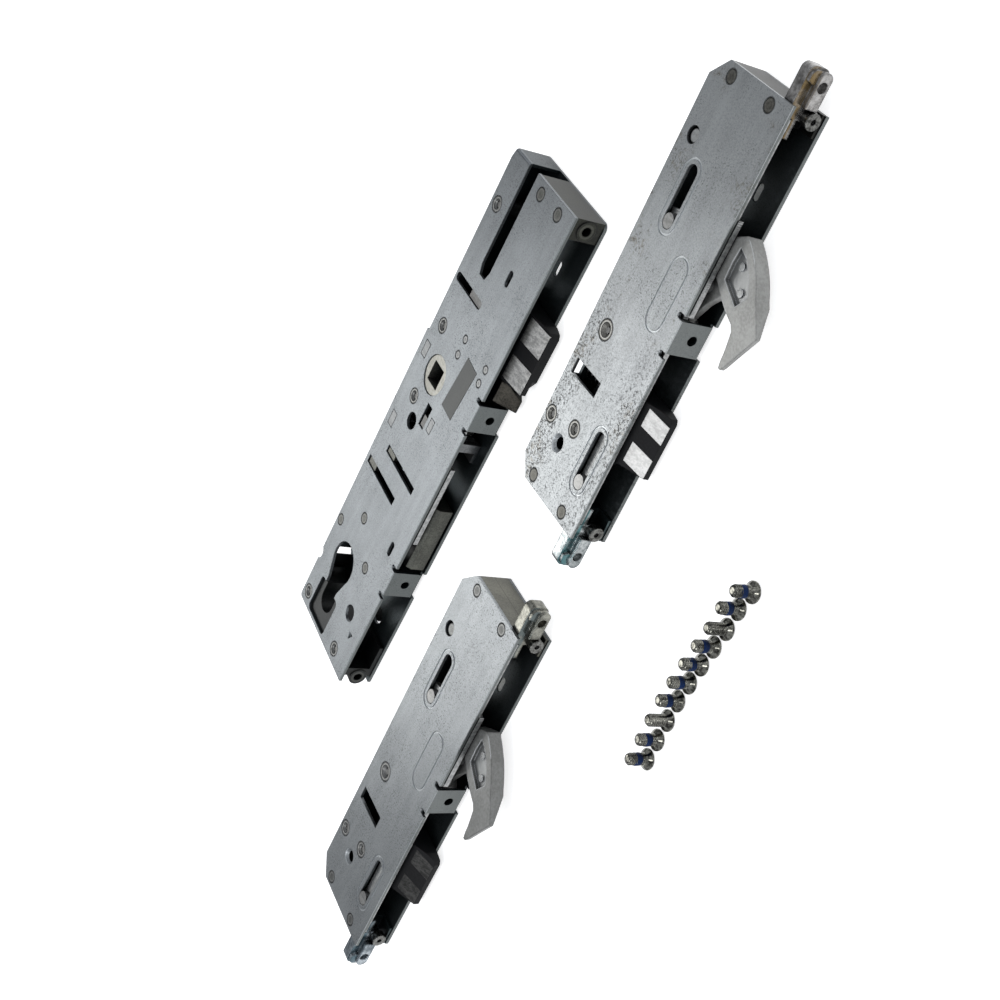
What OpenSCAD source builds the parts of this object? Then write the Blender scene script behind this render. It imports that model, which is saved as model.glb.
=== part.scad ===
// Multipoint door lock set laid out flat: a centre gearbox case, two equal
// hook bolt cases and ten countersunk faceplate screws.
// Inside a case x = 0 is the forend edge (behind the faceplate), -x runs to
// the back edge, +y to the top of the door and +z from back to front plate.

/* [Sheet metal cases] */

// Thickness of a case over both side plates
case_t = 14; // [13.8:0.1:14.6]
// Thickness of the side plates
plate_t = 1.2; // [1.1:0.05:1.3]
// Length of the centre case
centre_l = 211; // [209:0.5:216]
// Depth of the centre case in its lower part
centre_w = 51; // [50.5:0.1:53]
// Step at the back edge from the lower to the upper depth of the centre case
centre_step = 1.3; // [0.5:0.1:1.6]
// Length of a hook case
hook_case_l = 149.7; // [149:0.1:152]
// Depth of a hook case
hook_case_w = 40.4; // [40.2:0.1:42]
// Leg of the chamfers on the back corners of a hook case
hook_chamfer = 6.8; // [5:0.1:7.5]

/* [Functional holes] */

// Distance from the spindle down to the lock cylinder
pz = 92; // [91.5:0.1:92.5]
// Distance of spindle and cylinder from the back edge
spindle_back = 17.8; // [17.4:0.1:18.2]
// Square hole for the handle spindle
spindle_sq = 8.2; // [8.1:0.05:8.6]
// Diameter of the round part of the cylinder hole
cyl_d = 17.6; // [17.4:0.1:18]
// Width of the leg of the cylinder hole
cyl_leg_w = 10.4; // [10.2:0.1:10.8]
// Tapping hole of the faceplate screws
tap_d = 3.4; // [3.3:0.05:3.6]
// Holes for the screws that pass through the door furniture
through_d = 6.8; // [6.4:0.1:7]

/* [Latch and bolts] */

// How far the latch of the centre case stands out of the forend edge
latch_out = 7; // [6.4:0.1:7.4]
// Height of the latch of the centre case
latch_h = 26.4; // [25.6:0.1:26.6]
// How far the trigger below the latch stands out
trigger_out = 4.9; // [4:0.1:5.2]
// Throw of the deadbolt
bolt_throw = 20; // [19:0.1:20.4]
// Height of the deadbolt
bolt_h = 28.2; // [27.6:0.1:28.4]
// How far the latch of a hook case stands out
side_latch_out = 6.1; // [5.6:0.1:6.4]
// Height of the latch of a hook case
side_latch_h = 22.4; // [22:0.1:22.8]

/* [Hooks and drive] */

// Travel of the drive sliders
slide_travel = 16; // [15.6:0.1:16.2]
// Angle a hook swings between thrown and withdrawn
hook_swing = 62; // [60:0.5:62]
// Radius of the outer curve of the hook
hook_r = 37.4; // [37.1:0.1:37.6]
// Thickness of the hook head
hook_t = 5.4; // [5.2:0.1:5.5]
// Radius at which the drive pin sits on the hook
hook_pin_r = 20; // [19.6:0.1:20.4]
// Thickness of the drive sliders
slider_t = 1.8; // [1.6:0.1:1.9]
// Diameter of the slider pins that run in the side plate slots
slot_pin_d = 5; // [4.6:0.1:5]
// Height of a connector above or below its case
connector_h = 11.8; // [11:0.1:12.4]

/* [Screws] */

// Number of loose countersunk screws
screw_n = 10; // [4:1:10]
// Thread diameter of the screws
screw_d = 4; // [3.9:0.05:4]
// Diameter of the screw heads
screw_head_d = 6.9; // [6.6:0.05:7]
// Length of the screws over the head
screw_l = 8; // [7:0.5:12]

/* [Layout] */

// Angle of the upper hook case to the centre case
upper_yaw = 3.38; // [3:0.1:4]
// Angle of the lower hook case to the centre case
lower_yaw = 2.69; // [2.4:0.1:3.2]
// Sideways place of the upper hook case
upper_x = 65.9; // [65:0.5:72]
// Sideways place of the lower hook case
lower_x = 77; // [76:0.5:84]
// Lengthwise place of the upper hook case
upper_y = 285.8; // [285:0.5:290]
// Lengthwise place of the lower hook case
lower_y = 94.7; // [90:0.5:95]
// Pitch of the standing screws
screw_pitch = 7.42; // [7.3:0.02:8]

/* [Hidden] */

$fn = 48;

// Clearances
run = 0.08;      // radial clearance of a turning fit
gap = 0.3;       // free gap between pieces that pass each other
seat = 0.02;     // gap between pieces that only touch
eps = 0.01;

// Levels inside a case
floor_z = plate_t;
roof_z = case_t - plate_t;
slider_z1 = roof_z - 0.8;
slider_z0 = slider_z1 - slider_t;
work_z1 = slider_z0 - gap;       // top of what moves under the sliders

// Centre case stations along y
back_x = -centre_w;
hub_x = spindle_back - centre_w;
cyl_y = 32.2;
hub_y = cyl_y + pz;
step_y = hub_y + 9.3;
wall_x = back_x + plate_t;       // inner side of the folded back edge
top_block_h = 8;
flange_x = hub_x - 4.2;          // forend end of the top flange
slot_x1 = hub_x + 3;             // forend side of the long slot
slot_y0 = hub_y + 42.6;
centre_upper_w = centre_w - centre_step;
centre_lugs = [hub_y + 4.4, hub_y - 73.6];
lug_h = 11.2;
lug_notch = 2;
lug_depth = 3.2;
lug_tip_z = 1.9;
lug_z = 6.8;
boss_top = [centre_l - 4, 7.3];
boss_low = [2.4, 6.7];
boss_d = 7.2;
boss_depth = 6.4;
tube_big = [hub_x - 6.3, hub_y - 14];
tube_small = [[back_x + 6, centre_l - 20.7], [back_x + 8.4, hub_y + 15.8],
    [back_x + 4.5, 5.6], [-12.7, 5.2]];
tube_r = 3;
tube_bore = 1.3;
rivet_edge = 0.3;
flush_top = [[-23.7, centre_l - 4.6], [-9.8, centre_l - 4.6]];
flush_low = [[hub_x - 0.3, hub_y - 69], [back_x + 3, hub_y - 81.5],
    [hub_x + 15, hub_y - 81.4]];
flush_top_r = 2.5;
flush_low_r = 2.3;
small_rivets = [[hub_x + 7.5, hub_y + 21], [hub_x + 7.5, hub_y + 14.3],
    [-6.5, hub_y + 21], [-6.5, hub_y + 15.1]];
small_r = 1.6;
through_holes = [[hub_x - 0.5, hub_y - 21.5], [-13.9, cyl_y - 9]];
bottom_block_h = 17.6;
plate_round = 2.6;
leg_reach = 24.6;                // from the cylinder axis to the foot of its leg

// Drive of the centre case
arm_a = 22.5;
arm_r = slide_travel / 2 / sin(arm_a);
arm_pin_r = 2.4;
hub_r = 7.7;
spring_wire = 0.9;
spring_r = 2.4;
spring_bore = 3.05;
spring_z = 5.2;
cage_x = wall_x + 0.2;
cage_t = 1;
cage_foot = 1.4;
cage_y = hub_y - 32.6;
cage_top = hub_y + 6.3;
tab_x = back_x + 3;              // staked tabs of the cage
tab_w = 4;
tab_l = 6.4;
follower_spring_x = cage_x + cage_t + spring_r + spring_wire / 2 + gap / 2;
flange_r = hub_x - follower_spring_x - spring_r - spring_wire / 2 - gap / 2;
spring_arm_y = -1.8;
rail_x1 = -0.3;
rail_x0 = -3.3;
rail_y0 = hub_y - 54;
rail_y1 = hub_y - 18.9;
rest_pin = [arm_r * cos(arm_a) + hub_x, hub_y - arm_r * sin(arm_a)];
catch_x = hub_x + 4.6;           // back side of the locking catch
catch_y = hub_y - 27.2;
bridge_x = hub_x + 10.3;         // back side of the guide bridge
drive_x = hub_x + 14.6;          // back edge of the centre drive slider
bridge_y = hub_y - 17.7;

// Latch of the centre case
latch_y0 = hub_y + 21.1;
latch_y1 = latch_y0 + latch_h;
latch_mid = latch_y0 + 13.5;
latch_rear = hub_x + 7.2;
latch_seat = back_x + 3.6;       // face that the latch spring stands on
latch_bore = 6;
latch_z0 = 1.7;
latch_tip_z = 5.7;
latch_slope = 0.44;
plate_len = 10;
plate_skew = 1.5;
plate_thick = 0.8;
tab_slot_w = 3.4;
tail_z0 = 8.6;
trigger_y0 = hub_y + 12.5;
trigger_mid = hub_y + 15.6;
trigger_rear = -19;
trigger_bore = 6;
trigger_seat = hub_x + 3.2;      // face that the trigger spring stands on

// Deadbolt and key lever
bolt_y1 = hub_y - 37.8;
bolt_y0 = bolt_y1 - bolt_h;
bolt_z0 = 1.9;
bolt_z1 = 9;
bolt_rear = back_x + 3.2;
guide_w = 2.8;
guide_l = 6.4;
guide_a = hub_x - 6.6;           // back ends of the two guide lugs at rest
guide_b = bolt_rear - 0.6;
guide_y = bolt_y0 + 13.8;
key_pivot = flush_low[2];
key_r = 20.5;
key_half = asin(bolt_throw / 2 / key_r);
key_pin_r = 2;
key_z0 = bolt_z1 + gap;
key_z1 = key_z0 + 2;

// Hook case stations
pivot = [-11.5, 72.7 - hook_case_l];
pivot_r = 2.6;
pivot_hub_r = 6.8;
hook_lug_y = pivot[1] + 2;
hook_z1 = work_z1 - 0.1;
hook_z0 = hook_z1 - hook_t;
web_z1 = hook_z0 + 2.6;
drive_a = 70;                    // angle of the drive pin on the thrown hook
drive_pin_r = 2.3;
side_slot_w = slot_pin_d + 0.4;
slot_a = [-26.9, pivot[1] + 27.5];  // lower end pin places of the two slots
slot_b = [-9, 15.8 - hook_case_l];
end_h = 7.2;                     // height of the zinc end blocks
end_h_low = 8;
hook_tubes = [[3.8 - hook_case_w, 24 - hook_case_l], [17.9 - hook_case_w, 27.1 - hook_case_l]];
lever_tube = [10 - hook_case_w, pivot[1] - 13.1];
lever_tube_r = 3.6;
lever_hub_r = 6;
stop_post = [6.8 - hook_case_w, -24.2];
stop_r = 2.6;
sink_hole = [-26.9, 18.8 - hook_case_l];
sink_r = 1.9;
pressed_oval = [-11.8, pivot[1] + 2.2];
hook_flush = [[-30.2, -3.9], [-9.4, -3.9], [-30.8, 3.4 - hook_case_l],
    [-9.6, 3.4 - hook_case_l]];
hook_flush_r = 2.3;
rod_x0 = -6.5;                   // back of the connectors and slider neck
rod_x1 = -2.4;                   // forend side of the slider neck
neck_gap = 4.4;
ear_z0 = 5.2;
ear_z1 = 9.6;
ear_t = 2.3;
joint_y = 2.6;                   // connector screw inside the case end
joint_z = 5.1;
joint_r = 2.6;
joint_x = 0.6;                   // free end of the connector screw
joint_shank_r = 1.5;
side_latch_y1 = pivot[1] - 21.6;
side_latch_y0 = side_latch_y1 - side_latch_h;
side_mid = side_latch_y1 - 9.8;
side_bore_x = -10;               // blind end of the spring bore
side_tip_z = 3.8;
side_slope = 0.72;
side_rear = -27;
side_step = -12.9;
side_seat = 1.6 - hook_case_w;   // face that the latch spring stands on

// Layout: the outline box is centred on the origin
screw_dx = [1.1, 0.1, 0.6, 0.2, 0, 0, 0.1, 0.9, 1.8, 2.7];
screw_x = 136.5;
screw_y = 170.9;
set_x0 = -centre_w;
set_x1 = screw_x + max([for (i = [0:screw_n - 1]) screw_dx[i]]) + screw_head_d / 2;
set_y1 = upper_y + connector_h * cos(upper_yaw) - ear_t * sin(upper_yaw);
set_y0 = lower_y - (hook_case_l + connector_h) * cos(lower_yaw)
    + rod_x0 * sin(lower_yaw);
mid_x = (set_x0 + set_x1) / 2;
mid_y = (set_y0 + set_y1) / 2;

// Helpers

module slab(z0, z1) {
    translate([0, 0, z0])
        linear_extrude(z1 - z0)
            children();
}

module disc(p, r) {
    translate(p)
        circle(r);
}

// Round ended slot between two points on a line along y
module slot_y(p, l, w) {
    disc(p, w / 2);
    disc([p[0], p[1] + l], w / 2);
    translate([p[0] - w / 2, p[1]])
        square([w, l]);
}

module slot_ring(p, l, w, line) {
    difference() {
        slot_y(p, l, w);
        slot_y(p, l, w - 2 * line);
    }
}

module post(p, z0, z1, r) {
    translate([p[0], p[1], z0])
        cylinder(h = z1 - z0, r = r);
}

// Cylinder along x between two stations
module bar_x(x0, x1, y, z, r) {
    translate([x0, y, z])
        rotate([0, 90, 0])
            cylinder(h = x1 - x0, r = r);
}

module box(lo, hi) {
    translate(lo)
        cube([hi[0] - lo[0], hi[1] - lo[1], hi[2] - lo[2]]);
}

// Open compression spring along +z with one unbroken wire
module coil(l, r, wire, turns) {
    steps = turns * 12;
    rise = l - 2 * wire;
    rings = [for (i = [0:steps], k = [0:5])
        let (a = 360 * i / 12, b = 60 * k, q = r + wire * cos(b))
        [q * cos(a), q * sin(a), wire + rise * i / steps + wire * sin(b)]];
    ends = [[for (k = [0:5]) k], [for (k = [5:-1:0]) steps * 6 + k]];
    sides = [for (i = [0:steps - 1], k = [0:5])
        let (n = (k + 1) % 6) each [
            [i * 6 + k, (i + 1) * 6 + k, (i + 1) * 6 + n],
            [i * 6 + k, (i + 1) * 6 + n, i * 6 + n]]];
    polyhedron(points = rings, faces = concat(ends, sides), convexity = 10);
}

// Rivet end with a small round edge that shows as a ring in the plate
module rivet_post(p, z0, r) {
    post(p, z0, case_t - rivet_edge, r);
    translate([p[0], p[1], case_t - rivet_edge])
        cylinder(h = rivet_edge, r1 = r, r2 = r - rivet_edge);
}

module tube_rivet(p, r, bore) {
    difference() {
        rivet_post(p, 0, r);
        post(p, -1, case_t + 1, bore);
    }
}

// Countersink that leaves a flared ring mouth in a tube rivet
module flare(p, r, bore) {
    translate([p[0], p[1], case_t - r + bore + 0.5])
        cylinder(h = r - bore, r1 = bore, r2 = r);
}

// Folded faceplate lug with an extruded thread collar behind it
module lug(y) {
    difference() {
        union() {
            box([-plate_t, y - lug_h / 2, lug_tip_z], [0, y + lug_h / 2, case_t]);
            bar_x(-lug_depth, -plate_t, y, lug_z, 3);
        }
        bar_x(-lug_depth - 1, 1, y, lug_z, tap_d / 2);
    }
}

module lug_notches(y) {
    for (s = [-1, 1]) {
        translate([-lug_depth + lug_notch / 2, y + s * (lug_h + lug_notch) / 2 - lug_notch / 2])
            square([lug_depth, lug_notch]);
        disc([-lug_depth + lug_notch / 2, y + s * (lug_h + lug_notch) / 2], lug_notch / 2);
    }
}

module lug_tip_gap(y) {
    translate([-2.2, y - lug_h / 2 - 0.4])
        square([3, lug_h + 0.8]);
}

// Sloped nose of a latch: profile in x and z, spread along y
module latch_prism(rear, out, z0, tip_z, slope, z1, y0, y1) {
    reach = (z1 - tip_z) / slope;
    translate([0, y1, 0])
        rotate([90, 0, 0])
            linear_extrude(y1 - y0)
                polygon([[rear, z0], [out, z0], [out, tip_z],
                    [out - reach, z1], [rear, z1]]);
}

// Bright wear plates let into the sloped face between two y stations
module slope_plate(out, tip_z, slope, y0, y1, length, skew, t) {
    a = atan(slope);
    translate([out, 0, tip_z])
        rotate([0, a, 0])
            translate([-length, 0, -t])
                linear_extrude(t)
                    polygon([[0, y0 + skew], [length, y0], [length, y1], [0, y1 + skew]]);
}

module euro_profile(d, leg_w) {
    disc([hub_x, cyl_y], d / 2);
    disc([hub_x, cyl_y - leg_reach + leg_w / 2], leg_w / 2);
    translate([hub_x - leg_w / 2, cyl_y - leg_reach + leg_w / 2])
        square([leg_w, leg_reach - leg_w / 2]);
}

// Wide lower opening of the side plates around the cylinder leg
module wide_profile() {
    r = 2;
    lo = [hub_x - 9, 1.4];
    disc([hub_x, cyl_y], cyl_d / 2);
    translate([hub_x - cyl_leg_w / 2, 10])
        square([cyl_leg_w, cyl_y - 10]);
    polygon([[hub_x - 8.5, cyl_y - 2], [hub_x + 8.5, cyl_y - 2],
        [hub_x + 5.2, cyl_y - 11.6], [hub_x - 5.2, cyl_y - 11.6]]);
    translate([lo[0] + r, lo[1]])
        square([18 - 2 * r, 17]);
    translate([lo[0], lo[1] + r])
        square([18, 17 - 2 * r]);
    for (x = [lo[0] + r, lo[0] + 18 - r], y = [lo[1] + r, lo[1] + 17 - r])
        disc([x, y], r);
}

// Centre case

module centre_outline() {
    r = 1.6;
    notch = [back_x - 1.2, cyl_y - 9.2];
    difference() {
        union() {
            translate([-centre_w, 0])
                square([centre_w, step_y]);
            translate([-centre_upper_w, step_y - 1])
                square([centre_upper_w, centre_l - step_y + 1]);
        }
        disc(notch, 3);
        difference() {
            translate([-centre_w - 1, -1])
                square(r + 1);
            disc([-centre_w + r, r], r);
        }
    }
}

module centre_rivet_holes() {
    for (p = tube_small)
        disc(p, tube_r);
    disc(tube_big, tube_r);
    for (p = flush_top)
        disc(p, flush_top_r);
    for (p = flush_low)
        disc(p, flush_low_r);
}

module centre_back_plate() {
    upper_x = -centre_upper_w;
    joggle_y = step_y - plate_t;
    color([0.62, 0.63, 0.64]) {
        slab(0, plate_t)
            difference() {
                centre_outline();
                centre_rivet_holes();
                translate([back_x - 1, centre_l - plate_t])
                    square([flange_x - back_x + 1, 5]);
                disc([hub_x, hub_y], hub_r + run);
                wide_profile();
                for (p = through_holes)
                    disc(p, through_d / 2);
                for (y = centre_lugs)
                    lug_tip_gap(y);
                slot_y([-13.2, centre_l - 26.4], 2.8, 2.8);
                // round corner under the top block
                difference() {
                    translate([-plate_round, centre_l - plate_round])
                        square(plate_round + 1);
                    disc([-plate_round, centre_l - plate_round], plate_round);
                }
            }
        // folded back edge, open beside the notch and the flush rivet
        difference() {
            union() {
                box([back_x, 3, 0], [wall_x, step_y, roof_z - seat]);
                box([back_x, joggle_y, 0], [upper_x + plate_t, step_y, roof_z - seat]);
                box([upper_x, joggle_y, 0],
                    [upper_x + plate_t, centre_l - plate_t - 0.4, roof_z - seat]);
            }
            box([back_x - 1, cyl_y - 12.7, -1], [wall_x + 0.5, cyl_y - 4.7, case_t]);
            box([back_x - 1, flush_low[1][1] - 2.8, -1],
                [wall_x + 0.5, flush_low[1][1] + 2.8, case_t]);
        }
        // folded seats for the latch and trigger springs
        box([latch_seat - plate_t, latch_mid - 4, floor_z - eps], [latch_seat, latch_mid + 4, 9]);
        box([trigger_seat - plate_t, trigger_mid - 3.8, floor_z - eps],
            [trigger_seat, trigger_mid + 3.7, 8]);
    }
}

module guide_slot(x0, x1, y0, y1) {
    translate([x0, y0])
        square([x1 - x0, y1 - y0]);
}

// Round ended slot along x
module slot_x(x0, x1, y, w) {
    disc([x0 + w / 2, y], w / 2);
    disc([x1 - w / 2, y], w / 2);
    translate([x0 + w / 2, y - w / 2])
        square([x1 - x0 - w, w]);
}

module centre_front_plate() {
    lip_x = hub_x + 8.7;
    color([0.68, 0.69, 0.7])
        difference() {
            union() {
                slab(roof_z, case_t)
                    difference() {
                        centre_outline();
                        centre_rivet_holes();
                        for (p = small_rivets)
                            disc(p, small_r);
                        // long slot beside the folded top
                        polygon([[flange_x, slot_y0 + 3.7], [flange_x + 1.4, slot_y0],
                            [slot_x1 - 1.4, slot_y0], [slot_x1, slot_y0 + 3.7],
                            [slot_x1, centre_l + 1], [flange_x, centre_l + 1]]);
                        disc([hub_x, hub_y], hub_r + run);
                        wide_profile();
                        for (p = through_holes)
                            disc(p, through_d / 2);
                        for (y = centre_lugs)
                            lug_notches(y);
                        // latch guide slot
                        slot_x(back_x + 2.4, latch_rear, latch_mid, tab_slot_w);
                        // deadbolt guide slots
                        guide_slot(guide_a - 0.4, guide_a + guide_l + bolt_throw + 0.6,
                            bolt_y1 - guide_w - 0.2, bolt_y1 + 0.2);
                        guide_slot(guide_b - 0.6, guide_b + guide_l + bolt_throw + 1,
                            guide_y - 0.2, guide_y + guide_w + 0.4);
                        // catch window and inspection slots
                        guide_slot(catch_x - 0.4, catch_x + 3.7, catch_y + 8, catch_y + 17.6);
                        slot_y([-18.3, hub_y + 49.6], 3.6, 2.8);
                        slot_y([-8.8, bolt_y0 + 0.6], 3.4, 2.8);
                        polygon([[-8.6, 18.7], [-5.4, 18.7], [-7.4, 15.6]]);
                        for (y = [cage_y, cage_top - tab_l])
                            translate([tab_x, y])
                                square([tab_w, tab_l]);
                        translate([bridge_x, bridge_y])
                            square([3.4, 5.8]);
                    }
                box([-centre_upper_w, centre_l - plate_t, 0],
                    [flange_x, centre_l, case_t]);
                for (y = centre_lugs)
                    lug(y);
                slab(roof_z, case_t)
                    polygon([[lip_x - 1.1, bolt_y1 + 0.5], [lip_x + 1.1, bolt_y1 + 0.5],
                        [lip_x + 0.5, bolt_y1 - 0.1], [lip_x - 0.5, bolt_y1 - 0.1]]);
            }
            // cut corner of the folded top
            slab(-1, case_t + 1)
                polygon([[back_x - 1, centre_l - 4], [-centre_upper_w, centre_l - 4],
                    [1.4 - centre_upper_w, centre_l + 1], [back_x - 1, centre_l + 1]]);
            fold_round();
        }
}

// Round outer edge where the top flange is folded down
module fold_round() {
    r = 1.1;
    difference() {
        box([back_x - 1, centre_l - r, case_t - r], [flange_x + 1, centre_l + 1, case_t + 1]);
        bar_x(back_x - 2, flange_x + 2, centre_l - r, case_t - r, r);
    }
}

module centre_top_block() {
    x0 = slot_x1 + 0.5;
    y0 = centre_l - top_block_h;
    color([0.47, 0.47, 0.44])
        difference() {
            union() {
                box([x0, y0, floor_z], [-0.4, centre_l, roof_z]);
                bar_x(-6, -eps, boss_top[0], boss_top[1], boss_d / 2);
            }
            for (p = flush_top)
                post(p, 0, case_t, flush_top_r);
            bar_x(-boss_depth, 1, boss_top[0], boss_top[1], tap_d / 2);
        }
}

module centre_bottom_block() {
    color([0.3, 0.31, 0.31])
        difference() {
            union() {
                difference() {
                    box([cage_x, 0.2, floor_z], [-0.4, bottom_block_h, roof_z]);
                    // clear way in front of the boss and under the plate edge
                    box([-9, -1, 0], [1, 2.9, case_t]);
                    box([-10.5, 6.6, 3], [1, bottom_block_h + 1, case_t]);
                }
                bar_x(-8.6, -eps, boss_low[0], boss_low[1], boss_d / 2);
            }
            slab(0, case_t)
                euro_profile(cyl_d, cyl_leg_w);
            for (p = tube_small)
                post(p, 0, case_t, tube_r);
            bar_x(-boss_depth, 1, boss_low[0], boss_low[1], tap_d / 2);
        }
}

module centre_tube_rivets() {
    color([0.6, 0.6, 0.6])
        for (p = concat(tube_small, [tube_big]))
            difference() {
                tube_rivet(p, tube_r, tube_bore);
                flare(p, tube_r - 0.4, tube_bore);
            }
}

module centre_flush_rivets() {
    color([0.64, 0.64, 0.63]) {
        for (p = flush_top)
            rivet_post(p, 0, flush_top_r);
        for (p = flush_low)
            rivet_post(p, 0, flush_low_r);
    }
}

module centre_small_rivets() {
    color([0.66, 0.66, 0.66])
        for (p = small_rivets)
            rivet_post(p, roof_z - 1.2, small_r);
}

// Bent cage with the two staked tabs, it holds the follower spring
module spring_cage() {
    side_x = cage_x + cage_t - 0.1;
    color([0.55, 0.56, 0.57]) {
        box([cage_x, cage_y, floor_z], [cage_x + cage_t, cage_top, roof_z]);
        box([side_x, cage_y, floor_z], [follower_spring_x + 3.8, cage_y + cage_foot, 10]);
        for (y = [cage_y, cage_top - tab_l]) {
            box([tab_x, y, roof_z - 1], [tab_x + tab_w, y + tab_l, case_t]);
            box([side_x, y, roof_z - 1.6], [tab_x + tab_w, y + tab_l, roof_z]);
        }
    }
}

module guide_bridge() {
    bar_y0 = bridge_y + 4.1;
    bar_y1 = bridge_y + 7.7;
    color([0.6, 0.61, 0.62]) {
        box([-6.2, bar_y0, floor_z], [-5, bar_y1, work_z1]);
        box([bridge_x, bridge_y, floor_z], [-5, bar_y1, floor_z + 1.2]);
        box([bridge_x, bridge_y, floor_z], [bridge_x + 3.4, bridge_y + 5.8, case_t]);
    }
}

// Thin plate under the front plate that carries the latch and trigger
module latch_guide() {
    color([0.52, 0.53, 0.54])
        difference() {
            box([hub_x + 4.6, hub_y + 12.2, roof_z - 1.2], [-3.6, hub_y + 23.4, roof_z]);
            for (p = small_rivets)
                post(p, 0, case_t, small_r);
        }
}

module follower() {
    flange_z1 = work_z1 - 0.4;
    arm_z0 = floor_z + 1.6;
    arm_h = work_z1 - 0.7 - arm_z0;
    spring_arm = hub_x - follower_spring_x + 2.6;
    color([0.6, 0.58, 0.53])
        difference() {
            union() {
                translate([hub_x, hub_y, 0]) {
                    translate([0, 0, 0.4])
                        cylinder(h = case_t - 0.8, r = hub_r);
                    translate([0, 0, floor_z + gap])
                        cylinder(h = flange_z1 - floor_z - gap, r = flange_r);
                    rotate([0, 0, -arm_a]) {
                        translate([8.6, -3, arm_z0])
                            cube([arm_r - 8.6, 6, arm_h]);
                        translate([arm_r, 0, arm_z0])
                            cylinder(h = arm_h, r = 3.6);
                    }
                    // left arm on the return spring
                    translate([-spring_arm, spring_arm_y, arm_z0])
                        cube([spring_arm - 6.6, 5, arm_h]);
                }
                post(rest_pin, arm_z0 + 1, slider_z1, arm_pin_r);
            }
            translate([hub_x - spindle_sq / 2, hub_y - spindle_sq / 2, -1])
                cube([spindle_sq, spindle_sq, case_t + 2]);
        }
}

module follower_spring() {
    y0 = cage_y + cage_foot;
    l = hub_y + spring_arm_y - y0 - 2 * seat;
    color([0.5, 0.5, 0.5])
        translate([follower_spring_x, y0 + seat, 6])
            rotate([-90, 0, 0])
                coil(l, spring_r, spring_wire / 2, 9);
}

module centre_drive_slider() {
    w = arm_pin_r + gap;
    mid = hub_x + arm_r * (1 + cos(arm_a)) / 2;
    sway = arm_r * (1 - cos(arm_a)) / 2;
    color([0.66, 0.67, 0.69])
        difference() {
            union() {
                slab(slider_z0, slider_z1)
                    polygon([[rail_x1, rail_y0], [rail_x1, rail_y1], [rail_x0, rail_y1],
                        [rail_x0 - 1, hub_y - 4.3], [drive_x, hub_y - 4.3], [drive_x, hub_y - 16.2],
                        [drive_x + 6.6, hub_y - 32.2], [rail_x0, hub_y - 32.2], [rail_x0, rail_y0]]);
            }
            slab(slider_z0 - 1, slider_z1 + 1) {
                translate([mid, rest_pin[1]])
                    square([2 * sway, 2 * w], center = true);
                for (s = [-1, 1])
                    disc([mid + s * sway, rest_pin[1]], w);
                slot_y([-7.2, hub_y - 27.7], 6, 3);
            }
        }
}

module latch_body() {
    z1 = work_z1;
    color([0.1, 0.1, 0.1])
        difference() {
            latch_prism(latch_rear, latch_out, latch_z0, latch_tip_z, latch_slope,
                z1, latch_y0, latch_y1);
            latch_faces();
            // rounded upper and lower nose corners
            slab(-1, case_t + 1)
                polygon([[latch_out - 4, latch_y1 + 1], [latch_out - 4, latch_y1],
                    [latch_out - 0.9, latch_y1 - 0.9], [latch_out, latch_y1 - 2.4],
                    [latch_out + 1, latch_y1 - 2.4], [latch_out + 1, latch_y1 + 1]]);
            slab(-1, latch_tip_z - 2.2)
                polygon([[latch_out - 3.6, latch_y0 - 1], [latch_out - 3.6, latch_y0],
                    [latch_out, latch_y0 + 6], [latch_out + 1, latch_y0 + 6],
                    [latch_out + 1, latch_y0 - 1]]);
            // bore of the latch spring and seat of the tail
            bar_x(latch_rear - 1, latch_rear + latch_bore, latch_mid, spring_z, spring_bore);
            box([latch_rear - 1, latch_mid - 4, tail_z0], [latch_rear + 8, latch_mid + 4, z1 + 1]);
        }
}

module latch_faces() {
    for (y = [[latch_y0 - 0.1, latch_y0 + 9.2], [latch_y0 + 14.9, latch_y0 + 24.5]])
        slope_plate(latch_out, latch_tip_z, latch_slope,
            y[0], y[1], plate_len, plate_skew, plate_thick);
}

module latch_face_plates() {
    color([0.78, 0.77, 0.74])
        intersection() {
            latch_faces();
            box([-30, latch_y0, 0], [latch_out, latch_y1, case_t]);
        }
}

module latch_tail() {
    tab_h = tab_slot_w - 0.4;
    color([0.72, 0.72, 0.7]) {
        box([latch_rear - 10.4, latch_mid - 4, tail_z0], [latch_rear + 8, latch_mid + 4, work_z1]);
        slab(work_z1 - 1, case_t - 0.5) {
            translate([latch_rear - 10.2, latch_mid - tab_h / 2])
                square([9.8 - tab_h / 2, tab_h]);
            disc([latch_rear - 0.4 - tab_h / 2, latch_mid], tab_h / 2);
        }
    }
}

module latch_spring() {
    color([0.5, 0.5, 0.5])
        translate([latch_seat + seat, latch_mid, spring_z])
            rotate([0, 90, 0])
                coil(latch_rear + latch_bore - latch_seat - 2 * seat,
                    spring_r, spring_wire / 2, 9);
}

module trigger() {
    y1 = latch_y0 - gap;
    z1 = work_z1 - 0.6;
    color([0.16, 0.16, 0.16])
        difference() {
            latch_prism(trigger_rear, trigger_out, latch_z0 + 0.2, 2.6, 1.15, z1, trigger_y0, y1);
            slab(-1, case_t)
                polygon([[trigger_out - 5, y1 + 1], [trigger_out - 4, y1],
                    [trigger_out, y1 - 3.4], [trigger_out + 1, y1 - 3.4],
                    [trigger_out + 1, y1 + 1]]);
            bar_x(trigger_rear - 1, trigger_rear + trigger_bore, trigger_mid,
                spring_z, spring_bore);
        }
}

module trigger_spring() {
    color([0.5, 0.5, 0.5])
        translate([trigger_seat + seat, trigger_mid, spring_z])
            rotate([0, 90, 0])
                coil(trigger_rear + trigger_bore - trigger_seat - 2 * seat,
                    spring_r, spring_wire / 2, 7);
}

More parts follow.
